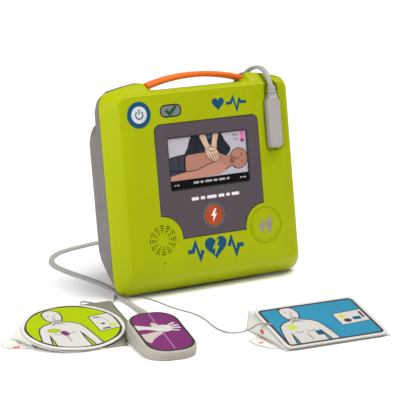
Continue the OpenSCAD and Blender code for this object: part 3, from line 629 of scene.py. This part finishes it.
# The picture on the screen: a plain drawing of hands pressing on a chest
SLEEVES = [
    [(29, 55.1), (39.5, 55.1), (44, 46), (46, 41), (42.5, 35.5), (20.5, 35.5), (23.5, 43)],
    [(61.5, 55.1), (67, 55.1), (71.5, 47), (78, 37.5), (74, 31.5), (69, 29), (63, 31), (58, 37), (56, 41),
     (58.5, 48)],
]
TROUSERS = [(0.1, 11), (0.1, 33), (6, 35), (14, 36), (20.5, 36.5), (21.5, 28), (20.5, 17), (12, 15)]
TORSO = [(21, 17), (20, 26), (21.5, 34.6), (30, 35.8), (46, 36.2), (58, 35), (66, 32.6), (71, 30), (76, 30.6),
         (82, 27), (80, 20), (74, 17.4), (66, 14), (52, 11.5), (30, 11)]
ARM = [(0.1, 9.6), (0.1, 14), (10, 16), (20, 17.4), (34, 18), (46, 22), (58, 24.6), (66, 22.4), (70.5, 17.4),
       (66, 12.2), (56, 10.2), (30, 9.5)]
FOREARMS = [
    [(40, 55.1), (47, 55.1), (50, 46.5), (54.5, 39), (50, 35.5), (46, 41), (42.5, 48)],
    [(57, 55.1), (63.5, 55.1), (61, 46.5), (59.5, 38), (52.5, 36.5), (54, 43.5), (55.6, 50)],
]
HANDS = [(46.6, 35), (48.4, 39.4), (52.5, 41.4), (58, 40.4), (61.6, 35.6), (63.4, 30), (61.2, 26.8),
         (57.4, 25.6), (53, 27), (49.4, 30)]
FINGERS = [[(50.6, 33.4), (51.4, 30), (53.4, 27.4)], [(53.8, 34), (54.6, 30), (56.6, 26.4)],
           [(57, 34.2), (58, 30.6), (59.8, 26.6)], [(60, 34.4), (61, 31.6), (62.4, 28.6)]]
HEAD_AT = (87.2, 25.6)
picture, level = [], -1.6       # the layers drawn so far, and the height of the last


def draw(shapes, finish, thick=0.008):
    """Adds one more printed layer over the last one."""
    global level
    for shape in shapes:
        picture.append((moved(shape, *SCREEN_AT), level, level + thick, finish))
    level += thick


def rectangle(x0, x1, y0, y1):
    """A rectangle, as points."""
    return [(x0, y0), (x1, y0), (x1, y1), (x0, y1)]


draw([rectangle(0, SCREEN_W, 0, SCREEN_H)], SCREEN_PALE, 0.02)
draw([loop(s, 3) for s in SLEEVES] + [[(46.5, 55.1), (57.5, 55.1), (54.6, 44), (51.6, 43)]], SCREEN_DARK)
draw([[(49.2, 51), (54.8, 51), (54.4, 54), (49.6, 54)]], SCREEN_TEAL)
draw([loop(TROUSERS, 4)], SCREEN_SLATE)
draw([stroke([(10, 16.6), (12, 24), (11, 34)], 0.8), stroke([(1, 20), (8, 19.6), (18, 18.4)], 0.8),
      stroke([(0.3, 33.4), (6, 35.2), (20, 36.7)], 0.9)], SCREEN_BLACK)
draw([stroke([(20.8, 17), (20, 26), (20.8, 36)], 2.2)], SCREEN_BLACK)
draw([loop(moved(TORSO, -2.9, -1.45, 1.05), 4), ring_points(11.9, 40, 0.98, HEAD_AT)], SCREEN_LINE)
draw([loop(TORSO, 4), ring_points(11.1, 40, 0.98, HEAD_AT)], SCREEN_SKIN)
draw([loop(ARM, 4)], SCREEN_SKIN_2)
draw([stroke([(21, 17.8), (34, 18.5), (46, 22.4), (57, 24.8)], 0.9), stroke([(81, 17.6), (83, 16.4)], 0.7),
      stroke([(90.4, 20.4), (91.6, 21.8), (90.8, 23.2)], 0.8),
      stroke([(90.4, 28.2), (91.6, 29.6), (90.8, 31)], 0.8),
      stroke([(88, 25), (86.4, 25.8), (88, 26.6)], 0.7),
      stroke([(83.4, 23.8), (82.6, 25.6), (83.4, 27.4)], 0.8)], SCREEN_LINE)
draw([stroke(loop(s, 4) + loop(s, 4)[:1], 1.2) for s in FOREARMS], SCREEN_LINE)
draw([loop(s, 4) for s in FOREARMS], SCREEN_HAND)
draw([stroke(loop(HANDS, 5) + loop(HANDS, 5)[:1], 1.3)], SCREEN_LINE)
draw([loop(HANDS, 5)], SCREEN_HAND)
draw([stroke(f, 0.8) for f in FINGERS] + [stroke([(50, 38.6), (53.6, 36.6), (58.6, 37.4)], 0.7)], SCREEN_LINE)

# Bars in place of the screen's words
CAPTION_BARS = ((28, 7), (36.6, 4), (42.4, 9), (53.2, 5), (60, 8), (69.8, 4))     # start and width
CORNER_BARS = ((4, 2), (7, 3.4), (87, 3), (91, 4))
draw([rectangle(0, SCREEN_W, 0, 9.4)], SCREEN_BLACK)
draw([round_box(x, x + w, 3.9, 6.3, 0.9, 3) for x, w in CAPTION_BARS]
     + [round_box(x, x + w, 3.6, 5, 0.5, 3) for x, w in CORNER_BARS], SCREEN_CHIP)
draw([rectangle(91.2, 95.8, 46.4, 55.1)], SCREEN_PINK)
draw([rectangle(91.2, 95.8, 43.2, 46.4)], SCREEN_PLUM)
draw([round_box(81.5, 89, 50.4, 52.6, 0.8, 3), round_box(82, 88, 46.2, 48, 0.7, 3)], SCREEN_GREY)
inlay("screen_picture", OUT, picture)

# ---- marks on the face

inlay("power_mark", OUT, [
    (stroke(arc(POWER_AT, 4.3, 130, 410, 30), 1.3, rounded=False), 0.8, 0.86, DARK_MARK),
    (round_box(POWER_AT[0] - 0.65, POWER_AT[0] + 0.65, 194.6, 200.2, 0.6, 3), 0.8, 0.86, DARK_MARK),
], "power")
inlay("status_mark", OUT, [
    (round_box(-56.4, -29.6, 188.1, 201.9, 6.8, 12), -0.2, -0.14, RIM),
    (round_box(-54.9, -31.1, 189.6, 200.4, 5.3, 12), -0.14, -0.1, LENS),
    (stroke([(-49, 196.2), (-44.6, 191.6), (-36.2, 199.4)], 3.4, rounded=False), -0.1, -0.05, TICK),
])
inlay("heart_line_mark", OUT, [
    (shape, 0, 0.05, MARK) for shape in (moved(heart(14.5), 16.5, 196.3),
                                         stroke(moved(PULSE, 26.5, 196.3, 1.3), 3.3, rounded=False))
])
inlay("bolt_heart_mark", OUT, [
    (moved(heart(26), -0.5, 40.2), 0, 0.05, MARK),
    (moved(BOLT, -0.5, 40.6, 1.25), 0.05, 0.1, GREEN),
] + [(stroke(line, 4.6, rounded=False), 0, 0.05, MARK) for line in (
    [(-36, 40), (-29.4, 40), (-26, 49), (-20.8, 31), (-17.4, 40)],
    [(16.4, 40), (19.6, 49), (25, 31), (28.4, 40), (35, 40)],
)])
inlay("panel_mark", OUT, [
    (round_box(x, x + w, 95.3, 98.7, 1.0, 4), -0.2, -0.15, PALE_MARK_AND_HIGHLIGHT)
    for x, w in ((-26, 9), (-14.5, 5.5), (-6.5, 12), (8, 7.5), (18, 4.5), (25, 9.5))
])


def figure(x, y, size):
    """A standing figure from two plain shapes."""
    body_shape = mirrored([(-2.2, 2.4), (-2.9, -1), (-1.6, -1.6), (-1.3, -6)])
    return [moved(loop(body_shape, 3), x, y, size), moved(ring_points(1.45, 20), x, y + 4.6 * size, size)]


inlay("child_mark", OUT, [
    (shape, 0.3, 0.36, GREY_MARK) for shape in figure(60.6, 56.6, 1.2) + figure(69.8, 57.6, 1.5)
] + [
    (stroke(line, 0.9), 0.3, 0.36, GREY_MARK)
    for line in ([(57.4, 58.8), (56.2, 56.2), (57, 54)], [(63.8, 58.6), (65, 60.4)], [(66.2, 61), (65.4, 58)],
                 [(73.4, 61), (75, 62.6)])
], "child")

# The back: finger ribs and a plain label on the storage lid
LID_Y = 63.4         # the lid's outer face
LID_FACE = Matrix(((-1, 0, 0, 0), (0, 0, 1, LID_Y * MM), (0, 1, 0, 0), (0, 0, 0, 1)))
LABEL_BARS = ((26, 119), (20, 115), (24, 111), (4, 107))     # end and height
inlay("lid_ribs", LID_FACE, [
    (round_box(-20, 20, z, z + 1.8, 0.9, 4), -0.1, 0.55, GREY) for z in (72, 76, 80, 84)
], "lid", 0.3)
inlay("lid_label", LID_FACE, [
    (round_box(-31, 31, 104, 142, 3, 6), -0.05, 0.08, PALE_MARK_AND_HIGHLIGHT),
    (moved(heart(13), -20, 131), 0.08, 0.12, MARK),
    (moved(BOLT, -20, 131.2, 0.6), 0.12, 0.15, PALE_MARK_AND_HIGHLIGHT),
    (round_box(-9, 26, 132.6, 135.4, 0.8, 4), 0.08, 0.12, GREY_MARK),
    (round_box(-9, 18, 127, 129.4, 0.8, 4), 0.08, 0.12, GREY_MARK),
] + [
    (round_box(-26, x, z, z + 1.6, 0.6, 3), 0.08, 0.12, GREY_MARK) for x, z in LABEL_BARS
], "lid")


def lathe(name, place, profile, finish, body, n=96):
    """A turned piece about the place's own third axis: the profile is (radius, height), in millimetres."""
    verts = [place @ mm(x, y, z) for r, z in profile for x, y in ring_points(r, n)]
    return tidied(piece(name, verts, skin(len(profile), n, inward=True), [finish], body), 38.0)


shock_place = OUT @ Matrix.Translation(mm(*SHOCK_AT))
cap = lathe("shock_cap", shock_place, [
    (1.5, 0.2), (3, 0.22), (4.6, 0.27), (6, 0.36), (7.4, 0.5), (8.6, 0.6), (9.6, 0.62), (10.4, 0.56),
    (10.9, 0.42), (11.2, 0.18), (11.3, -0.2), (11.3, -4.4), (12.3, -4.4), (12.3, -5), (1.5, -5),
], SHOCK, "shock")
shown_for(cap, "shock_button")
# A painted highlight: a pale arc on the shock ring's lower right, in place of the light that the ring would
# catch.
inlay("shock_ring_painted_highlight", shock_place, [(stroke(arc((0, 0), 13.1, -95, -5, 24), 0.9), 0.02, 0.1, PALE_MARK_AND_HIGHLIGHT)])
inlay("shock_mark", shock_place, [(moved(BOLT, 0, 0, 0.98), 0.1, 0.66, BOLT_MARK)], "shock", 0.08)

# ---- electrodes

GREEN_AT, GREEN_TURN, GREEN_TILT, GREEN_REACH = (-216, -140), -5, 11, 49     # the oval's centre
BLUE_AT, BLUE_TURN, BLUE_TILT = (-56, -287), -5, 13                          # the square's near corner
SENSOR_TILT = 9
PAD_RISE = 0.8
GREEN_RISE = PAD_RISE + GREEN_REACH * sin(radians(GREEN_TILT))
GREEN_PLACE = laid(GREEN_AT, GREEN_TURN, GREEN_TILT, GREEN_RISE)
BLUE_PLACE = laid(BLUE_AT, BLUE_TURN, BLUE_TILT, PAD_RISE)
SENSOR_PLACE = laid((-184, -245), -9.5, SENSOR_TILT, 0)
PAD_LOW, PAD_HIGH = 0.9, 2.5       # foam, in a pad's own frame
GEL_LOW, GEL_HIGH = 0.12, 0.88


def soft_plate(name, place, outline, centre, low, high, finish, node, lift):
    """A thin foam or gel plate with rounded edges and a margin that waves a little."""
    c = Vector((centre[0], centre[1], 0))
    o = [Vector((x, y, 0)) for x, y in outline]
    n = len(o)
    margin = 5.8
    rings = [(0.5, low), (0.1, low + 0.2), (0, low + 0.5), (0, high - 0.55), (0.15, high - 0.2),
             (0.5, high - 0.04), (1.1, high), (2.4, high), (4, high), (margin, high)]
    verts = []

    def wave(k, inset):
        a = 2 * pi * k / n
        swell = 0.5 + 0.25 * sin(3 * a + 0.6) + 0.25 * sin(7 * a + 2.1)
        return lift * swell * max(0, 1 - inset / margin) ** 2

    for inset, z in rings:
        for k, p in enumerate(o):
            away = p - c
            q = c + away * (1 - inset / away.length)
            verts.append(place @ mm(q.x, q.y, z + wave(k, inset)))
    shares = (0.66, 0.33)       # two more rings, so that the middle is no single huge face
    for share in shares:
        for p in o:
            q = c + (p - c) * share
            verts.append(place @ mm(q.x, q.y, high))
    obj = piece(name, verts, skin(len(rings) + len(shares), n), [finish], smooth_faces=True)
    return shown_for(obj, node)


def clipped(points, frame_ring):
    """The part of an outline inside a convex ring, which runs anticlockwise."""
    out = list(points)
    for a, b in zip(frame_ring, frame_ring[1:] + frame_ring[:1]):
        if not out:
            break
        side = [(b[0] - a[0]) * (p[1] - a[1]) - (b[1] - a[1]) * (p[0] - a[0]) for p in out]
        kept = []
        for i, p in enumerate(out):
            q, sp, sq = out[(i + 1) % len(out)], side[i], side[(i + 1) % len(out)]
            if sp >= 0:
                kept.append(p)
            if (sp > 0 > sq) or (sp < 0 < sq):
                f = sp / (sp - sq)
                kept.append((p[0] + f * (q[0] - p[0]), p[1] + f * (q[1] - p[1])))
        out = kept
    return out


# The plain figure on both pads: neck, arm and side, then the outline of the head
BODY_SHAPE = mirrored([
    (-4.6, 2), (-6, 0.4), (-14, -2.4), (-20, -7.4), (-23, -17), (-25.4, -30), (-27.6, -46), (-28.4, -62),
    (-22.4, -62), (-20.4, -44), (-17.4, -28), (-15, -19), (-14.6, -34), (-16.4, -62),
])
BODY_EDGES = ((0, 9), (8, 12), (11, 15), (14, 17), (16, 20), (19, 28))     # runs of points, a line each
HEAD_SHAPE = [(0, 2.4), (5, 4.4), (7.8, 9.6), (8.4, 15.6), (6.8, 22), (0, 25.4), (-6.8, 22), (-8.4, 15.6),
              (-7.8, 9.6), (-5, 4.4)]
BODY_LINES = [
    [(-11, -20), (-6, -22), (-1.6, -20)], [(1.6, -20), (6, -22), (11, -20)], [(0, -24), (0.4, -38)],
    [(-2.4, -1.4), (-7, -4)], [(2.4, -1.4), (7, -4)], [(-4.4, 15.6), (-2.4, 16.2)],
    [(2.4, 16.2), (4.4, 15.6)], [(0.2, 14.4), (0.8, 11.8), (-0.2, 11.6)], [(-2, 8.6), (0, 8), (2, 8.6)],
]
EDGE_WIDTH = 2.9


def pad_print(name, place, outer, inner, field, x, y, scale, marks):
    """A pad's printed side: a dark line round a coloured field with a plain figure, and extra marks."""
    top = PAD_HIGH + 0.03
    layers = [([outer, inner], PAD_HIGH, PAD_HIGH + 0.05, OUTLINE), (inner, PAD_HIGH, top, field)]
    figure_body = moved(BODY_SHAPE, x, y, scale)
    head = loop(moved(HEAD_SHAPE, x, y, scale), 4)
    neck = moved(rectangle(-4.2, 4.2, -2, 6), x, y, scale)
    edges = [stroke(figure_body[a:b], EDGE_WIDTH, rounded=False) for a, b in BODY_EDGES]
    edges.append(stroke(head + head[:1], EDGE_WIDTH, rounded=False))
    lines = [stroke(moved(b, x, y, scale), 0.8) for b in BODY_LINES]
    for shapes, finish, thick in ((edges, OUTLINE, 0.02), ([figure_body, head, neck], FIGURE, 0.02),
                                  (lines, OUTLINE, 0.015)):
        for shape in shapes:
            part = clipped(shape, inner)
            if len(part) > 2:
                layers.append((part, top, top + thick, finish))
        top += thick
    for depth, (shape, finish) in enumerate(marks):
        layers.append((clipped(shape, inner), top, top + 0.008 * (depth + 1), finish))
    inlay(name, place, layers)


oval_outer, oval_inner = ring_points(50.2, 96, 44.2 / 50.2), ring_points(47.5, 96, 41.5 / 47.5)
green_foam = soft_plate("oval_pad_foam", GREEN_PLACE, ring_points(53, 96, 47 / 53), (0, 0), PAD_LOW, PAD_HIGH,
                        FOAM, "green_pad", 0.5)
pad_print("oval_pad_print", GREEN_PLACE, oval_outer, oval_inner, PAD_GREEN, -13, 11, 1.06, [
    (moved(ring_points(6.6, 28, 0.62), -21.8, -3.2, 1, -8), OUTLINE),
    (moved(ring_points(6.0, 28, 0.58), -21.8, -3.2, 1, -8), PAD_GREEN),
    (moved(round_box(-3.4, 3.4, -5.2, 5.2, 3, 6), -12.8, -11, 1, 16), OUTLINE),
    (moved(round_box(-2.8, 2.8, -4.6, 4.6, 2.5, 6), -12.8, -11, 1, 16), PURPLE),
    ([(21.4, 15.6), (47, 19), (47, -13.6), (22.6, -17.4)], OUTLINE),
    ([(22.4, 14.6), (46.4, 17.8), (46.4, -12.8), (23.5, -16.2)], FIGURE),
    (round_box(25.6, 33.4, 10.6, 12.6, 0.8, 3), OUTLINE),
    (moved(ring_points(2.4, 20, 0.8), 27.6, 1.6), PAD_SPOT),
    (moved(ring_points(2.3, 20, 0.75), 31.4, -2.2), OUTLINE),
    (stroke([(33.6, 12.4), (37.4, 5.6), (37.8, 0.4)], 0.9), GREY_MARK),
    (moved(ring_points(4.6, 24, 0.72), 40.6, -6.6), GREY_MARK),
    (moved(ring_points(4.1, 24, 0.68), 40.6, -6.6), PAD_SPOT),
    (moved(round_box(-4.4, 4.4, -1.3, 1.3, 0.7, 3), 31.6, -12, 1, 6), OUTLINE),
])
SQUARE_MIDDLE = (60, 41.5)
blue_foam = soft_plate("square_pad_foam", BLUE_PLACE, round_box(1.8, 118.2, 1.8, 81.2, 7, 10), SQUARE_MIDDLE,
                       PAD_LOW, PAD_HIGH, FOAM, "blue_pad", 0.5)
square_outer, square_inner = round_box(5, 115, 5, 78, 5.6, 8), round_box(7.7, 112.3, 7.7, 75.3, 3.2, 8)
pad_print("square_pad_print", BLUE_PLACE, square_outer, square_inner, PAD_BLUE, 35.5, 50, 1.04, [
    (moved(ring_points(5.4, 24, 0.94), 25.7, 38.6), PAD_SPOT),
    (round_box(44.8, 53.2, 17.6, 26.4, 1.4, 4), OUTLINE),
    (round_box(45.4, 52.6, 18.2, 25.8, 1.2, 4), MARK),
    ([(78, 52.4), (112.3, 54.6), (112.3, 30.6), (78.2, 28.8)], OUTLINE),
    ([(79, 51.4), (111.8, 53.5), (111.8, 31.6), (79.2, 29.8)], FIGURE),
    (moved(ring_points(4.2, 24, 0.9), 86, 45.6), PAD_SPOT),
    (moved(ring_points(4.2, 24, 0.86), 88.6, 36.4), OUTLINE),
    (moved(round_box(-4.6, 4.6, -2.8, 2.8, 1, 4), 100.4, 38.6), MARK),
    (stroke([(92.6, 37), (95.8, 38.2)], 0.9), GREY_MARK),
    (moved(round_box(-1.3, 1.3, -6, 6, 0.8, 4), 108.4, 44), OUTLINE),
])

green_gel = soft_plate("oval_pad_gel", GREEN_PLACE, ring_points(47, 96, 41 / 47), (0, 0),
                       GEL_LOW, GEL_HIGH, GEL, "green_gel", 0)
blue_gel = soft_plate("square_pad_gel", BLUE_PLACE, round_box(8, 112, 8, 75, 4, 8), SQUARE_MIDDLE,
                      GEL_LOW, GEL_HIGH, GEL, "blue_gel", 0)


def liner(name, place, x0, x1, long, tilt, node, cut, wall, flap, left, wing=inf):
    """A release liner: a leaf on the floor, a fold at the back, a leaf under the pad, and an end wall with
    a pull tab. The leaves run from left(y) to x1, and the upper one is darker past x = wing."""
    climb = tan(radians(tilt))
    rise, back = 0.7, long * cos(radians(tilt))
    top = rise + long * sin(radians(tilt))
    path = [(1.2, 0.2), (back * 0.3, 0.34), (back * 0.6, 0.36), (back - 2.4, 0.24), (back - 1, 0.5),
            (back - 0.45, 1.3), (back - 0.7, top * 0.35), (back - 0.8, top * 0.7), (back - 0.5, top - 1.7),
            (back - 1.0, top - 0.75), (back - 2.2, top - 0.85)]
    slope = [(back - s, top - 0.42 - s * climb) for s in (6, 20, 34, 48, 62, 76, 88)]
    path += [p for p in slope if p[0] > 6] + [(3.4, rise + 3.4 * climb - 0.42)]
    columns, wall_rows = 28, 12
    verts, faces, which = [], [], []

    def strip(rows, dark_from=inf):
        """Quads between the rows, without those that are cut away."""
        start, wide = len(verts), len(rows[0])
        for row in rows:
            verts.extend(place @ mm(*p) for p in row)
        for i in range(len(rows) - 1):
            for k in range(wide - 1):
                a = start + i * wide + k
                x, y = [(rows[i][k][c] + rows[i + 1][k + 1][c]) / 2 for c in (0, 1)]
                if cut(x, y):
                    continue
                faces.append((a, a + 1, a + wide + 1, a + wide))
                which.append(int(x > wing and i >= dark_from))

    steps = []
    for p, q in zip(path, path[1:]):
        count = max(1, round(dist(p, q) / 3.6))
        steps += [(p[0] + (q[0] - p[0]) * k / count, p[1] + (q[1] - p[1]) * k / count) for k in range(count)]
    steps.append(path[-1])
    turn_at = next(i for i, p in enumerate(steps) if p[1] > top - 0.8)
    strip([[(left(y) + (x1 - left(y)) * k / columns, y, z) for k in range(columns + 1)] for y, z in steps],
          turn_at - 1)

    foot_near, foot_far, y_near, y_far = wall

    def foot(share):
        """Where the end wall stands on the floor."""
        return x0 + foot_near + (foot_far - foot_near) * share

    rows = []
    for k in range(wall_rows + 1):
        share = k / wall_rows
        y = y_near + (y_far - y_near) * share
        edge, drop = left(y) + 0.4, rise - 0.55 + y * climb
        rows.append([(edge + (foot(share) - edge) * s - 0.5 * sin(pi * s), y, 0.25 + drop * (1 - s))
                     for s in (0, 0.25, 0.5, 0.75, 1)])
    strip(rows)
    rows = []
    for y, reach in flap:
        share = (y - y_near) / (y_far - y_near)
        curl = 1.1 * sin(pi * min(1, share * 1.6))
        rows.append([(foot(share) - reach * s, y, 0.22 + curl * s * s) for s in (0, 0.2, 0.4, 0.6, 0.8, 1)])
    strip(rows)
    obj = piece(name, verts, faces, [LINER, LINER_BACK], face_finish=which, smooth_faces=True)
    bm = bmesh.new()
    bm.from_mesh(obj.data)
    bmesh.ops.delete(bm, geom=[v for v in bm.verts if not v.link_faces], context="VERTS")
    bm.to_mesh(obj.data)
    bm.free()
    thick = obj.modifiers.new("thickness", "SOLIDIFY")
    thick.thickness = 0.28 * MM
    thick.offset = 0
    return shown_for(obj, node)


# Each liner's frame, flat on the floor, from its near edge back
GREEN_NEAR = GREEN_REACH * cos(radians(GREEN_TILT))
GREEN_FLOOR = laid(GREEN_AT, GREEN_TURN, 0, 0) @ Matrix.Translation(mm(0, -GREEN_NEAR))
BLUE_FLOOR = laid(BLUE_AT, BLUE_TURN, 0, 0)


def near_sensor(x, y):
    """The corner of the oval pad's liner that is cut away for the sensor."""
    return x > 40 and y < 10 + max(0, x - 42) * 1.05 + (8 if x > 43.5 else 0) and y < 33


def oval_left(y):
    """Where the oval pad's leaf ends on its left, so that it follows the pad round."""
    return 12 - 66 * sqrt(max(0, 1 - ((y - 48) / 49.5) ** 2))


OVAL_TAB = [(35, 2), (38, 10), (42, 18), (48, 23), (55, 22), (62, 17), (68, 9), (72, 1)]
SQUARE_TAB = [(12, 2), (16, 9), (22, 14), (30, 17.5), (40, 19), (48, 18), (54, 10), (57, 1)]
green_liner = liner("oval_pad_liner", GREEN_FLOOR, -50, 60.5, 98, GREEN_TILT, "green_liner", near_sensor,
                    (4, -8, 34, 74), OVAL_TAB, oval_left, wing=12)
blue_liner = liner("square_pad_liner", BLUE_FLOOR, 0.3, 119.7, 87, BLUE_TILT, "blue_liner",
                   lambda x, y: False, (3, -3, 10, 83), SQUARE_TAB, lambda y: 0.3)

# Red corner marks that say where to pull
RED_SHAPE = [(0, 3.4), (3, 1.6), (5.4, 2.6), (5, -1.4), (1.4, -3.2), (-2.4, -2.2), (-5, 0.2), (-2.8, 2.2)]
for name, place, x, y, z, size in (("oval_liner_marks", GREEN_FLOOR, -63, 44, 1.0, 0.9),
                                   ("square_liner_marks", BLUE_FLOOR, -11, 37, 0.75, 0.75)):
    inlay(name, place, [(loop(moved(RED_SHAPE, x, y, size), 4), z, z + 0.1, RED_MARK)])


def on_wall(place, x, y, z, lean_deg):
    """The frame of a mark on a liner's end wall, which faces -x."""
    upright = Matrix.Rotation(radians(lean_deg - 90), 4, "Y") @ Matrix.Rotation(radians(90), 4, "Z")
    return place @ Matrix.Translation(mm(x, y, z)) @ upright


WALL_MARK = [(loop(moved(RED_SHAPE, scale=0.75), 4), 0, 0.15, RED_MARK)]
inlay("oval_wall_mark", on_wall(GREEN_FLOOR, -47.6, 62, 7.2, 20), WALL_MARK)
inlay("square_wall_mark", on_wall(BLUE_FLOOR, -0.4, 52, 6.4, 4), WALL_MARK)

# ---- sensor


def sensor_outline(grow):
    """The sensor's outline seen from above, that much larger all round."""
    return round_box(-grow, 50 + grow, -grow, 86 + grow, 20 + grow, 10)


def ring_stack(name, rings, finish, by_floor=0):
    """A closed piece of the sensor through rings of (growth, height). The first few follow the floor."""
    slope = tan(radians(SENSOR_TILT))
    verts = []
    for i, (grow, z) in enumerate(rings):
        fall = slope if i < by_floor else 0
        verts += [SENSOR_PLACE @ mm(x, y, z - y * fall) for x, y in sensor_outline(grow)]
    return tidied(piece(name, verts, skin(len(rings), len(sensor_outline(0))), [finish]), 40.0)


# A wedge whose wall has a shallow groove round it, and a printed cover in a dark rim
sensor_shell = ring_stack("sensor_shell", [
    (1.2, 0.05), (1.8, 0.4), (2.0, 1.2), (2.0, 3.4), (1.65, 3.6), (1.65, 3.8), (2.0, 4.0), (2.0, 6.8),
    (1.9, 7.8), (1.5, 8.7), (0.8, 9.35), (0.1, 9.6), (-1, 9.6),
], SENSOR, by_floor=3)
shown_for(sensor_shell, "sensor_base")
cover = inlay("sensor_cover", SENSOR_PLACE, [(sensor_outline(-1.5), 8.8, 9.92, PURPLE)], edge=0.1)
shown_for(cover, "sensor_top")
rim = ring_stack("sensor_rim", [
    (-0.1, 9.2), (-0.1, 9.8), (-0.35, 9.97), (-0.8, 10.0), (-2.3, 9.99), (-2.6, 9.93), (-2.7, 9.8),
], RIM)
rim.data.polygons[-1].use_smooth = False

# The print on the cover: two plain arms with crossed hands, and a dotted line
ARM_1 = [(1.6, 60.6), (1.2, 50.4), (10, 49.6), (19, 45.4), (25, 41.4), (31, 41), (36, 44), (36.6, 50.4),
         (33, 54.6), (27, 56), (20, 53.8), (11, 56.6)]
ARM_2 = [(1.6, 39), (2.2, 28), (6.4, 20.6), (11, 27), (18, 33.4), (24.5, 38.4), (22, 43), (16, 42.4),
         (9, 40.6)]
THUMB = [(19.6, 54), (18.6, 59.4), (21, 62.6), (24.4, 61), (25.6, 56)]
DIGITS = [([(34, 52.6), (39, 56.4), (43.4, 58)], 2.6), ([(35.4, 49.8), (41, 52), (46, 52.2)], 2.7),
          ([(35.4, 46.6), (41, 47.2), (46, 46.2)], 2.6), ([(34, 43.4), (38.6, 42.4), (42.6, 40.4)], 2.3)]
WRINKLES = ([(20, 52), (26, 50), (31, 51)], [(27, 43.6), (31, 45), (34, 47)])
hands = [(loop(ARM_2, 4), 9.92, 9.95, FIGURE_2), (loop(THUMB, 4), 9.92, 9.95, FIGURE_2),
         (loop(moved(ARM_1, -0.4, -1.6, 1.03), 4), 9.95, 9.962, RIM), (loop(ARM_1, 4), 9.962, 9.98, FIGURE)]
hands += [(stroke(line, width, 6), 9.96, 9.978, FIGURE) for line, width in DIGITS]
hands += [(stroke(line, 0.5, 6), 9.98, 9.986, GREY_MARK) for line in WRINKLES]
hands += [(moved(ring_points(0.9, 4), 25, 6 + 3.1 * k), 9.92, 9.95, SENSOR_DOT)
          for k in range(26) if not 12 <= k < 19]
sensor_print = inlay("sensor_print", SENSOR_PLACE, hands)

# The strap round the coil: a flat loop on edge, with its buckle
tie = inlay("coil_strap", laid(COIL_AT, 20, 90, 0), [
    ([round_box(26.9, 41.2, 0.05, 9.0, 2, 5), round_box(27.7, 40.4, 0.15, 8.2, 1.4, 5)], -4, 4, BLACK),
    (round_box(40.0, 41.5, 2.6, 6.4, 0.6, 3), -2.6, 2.6, BLACK),
], edge=0.25)
shown_for(tie, "coil_tie")

# ---- floor and light

FLOOR_HALF, FLOOR_Z = 6, -0.0001
WORLD_LIGHT = 0.27
SUN_POWER, SUN_SPREAD, SUN_FROM = 3.35, radians(42), Vector((0.34, -0.16, 1))
SOFTBOXES = (
    # name, place, what it is aimed at, size, power
    ("key", (-0.95, -0.5, 0.75), (-0.05, -0.05, 0.14), (0.45, 0.45), 3.6),
    ("side", (-0.85, -0.08, 0.4), (-0.1, -0.02, 0.18), (0.4, 0.25), 2.6),
    ("fill", (0.9, -2.2, 1.1), (0, 0, 0.1), (1.6, 1.2), 2),
)

floor_mesh = bpy.data.meshes.new("floor")
corners = rectangle(-FLOOR_HALF, FLOOR_HALF, -FLOOR_HALF, FLOOR_HALF)
floor_mesh.from_pydata([(x, y, FLOOR_Z) for x, y in corners], [], [(0, 1, 2, 3)])
floor_mesh.materials.append(FLOOR)
floor = bpy.data.objects.new("floor", floor_mesh)
scene.collection.objects.link(floor)

world = bpy.data.worlds.new("studio")
scene.world = world
world.use_nodes = True
put(world.node_tree.nodes["Background"], {"Color": (1, 1, 1, 1), "Strength": WORLD_LIGHT})


def light(name, kind, power, shines_from):
    """A lamp turned so that its light comes along that direction."""
    lamp = bpy.data.lights.new(name, kind)
    lamp.energy = power
    obj = bpy.data.objects.new(name, lamp)
    scene.collection.objects.link(obj)
    obj.rotation_euler = shines_from.to_track_quat("Z", "Y").to_euler()
    return obj


for name, at, aim, size, power in SOFTBOXES:
    softbox = light(name, "AREA", power, Vector(at) - Vector(aim))
    softbox.location = at
    softbox.data.shape = "RECTANGLE"
    softbox.data.size, softbox.data.size_y = size
light("overhead", "SUN", SUN_POWER, SUN_FROM).data.angle = SUN_SPREAD
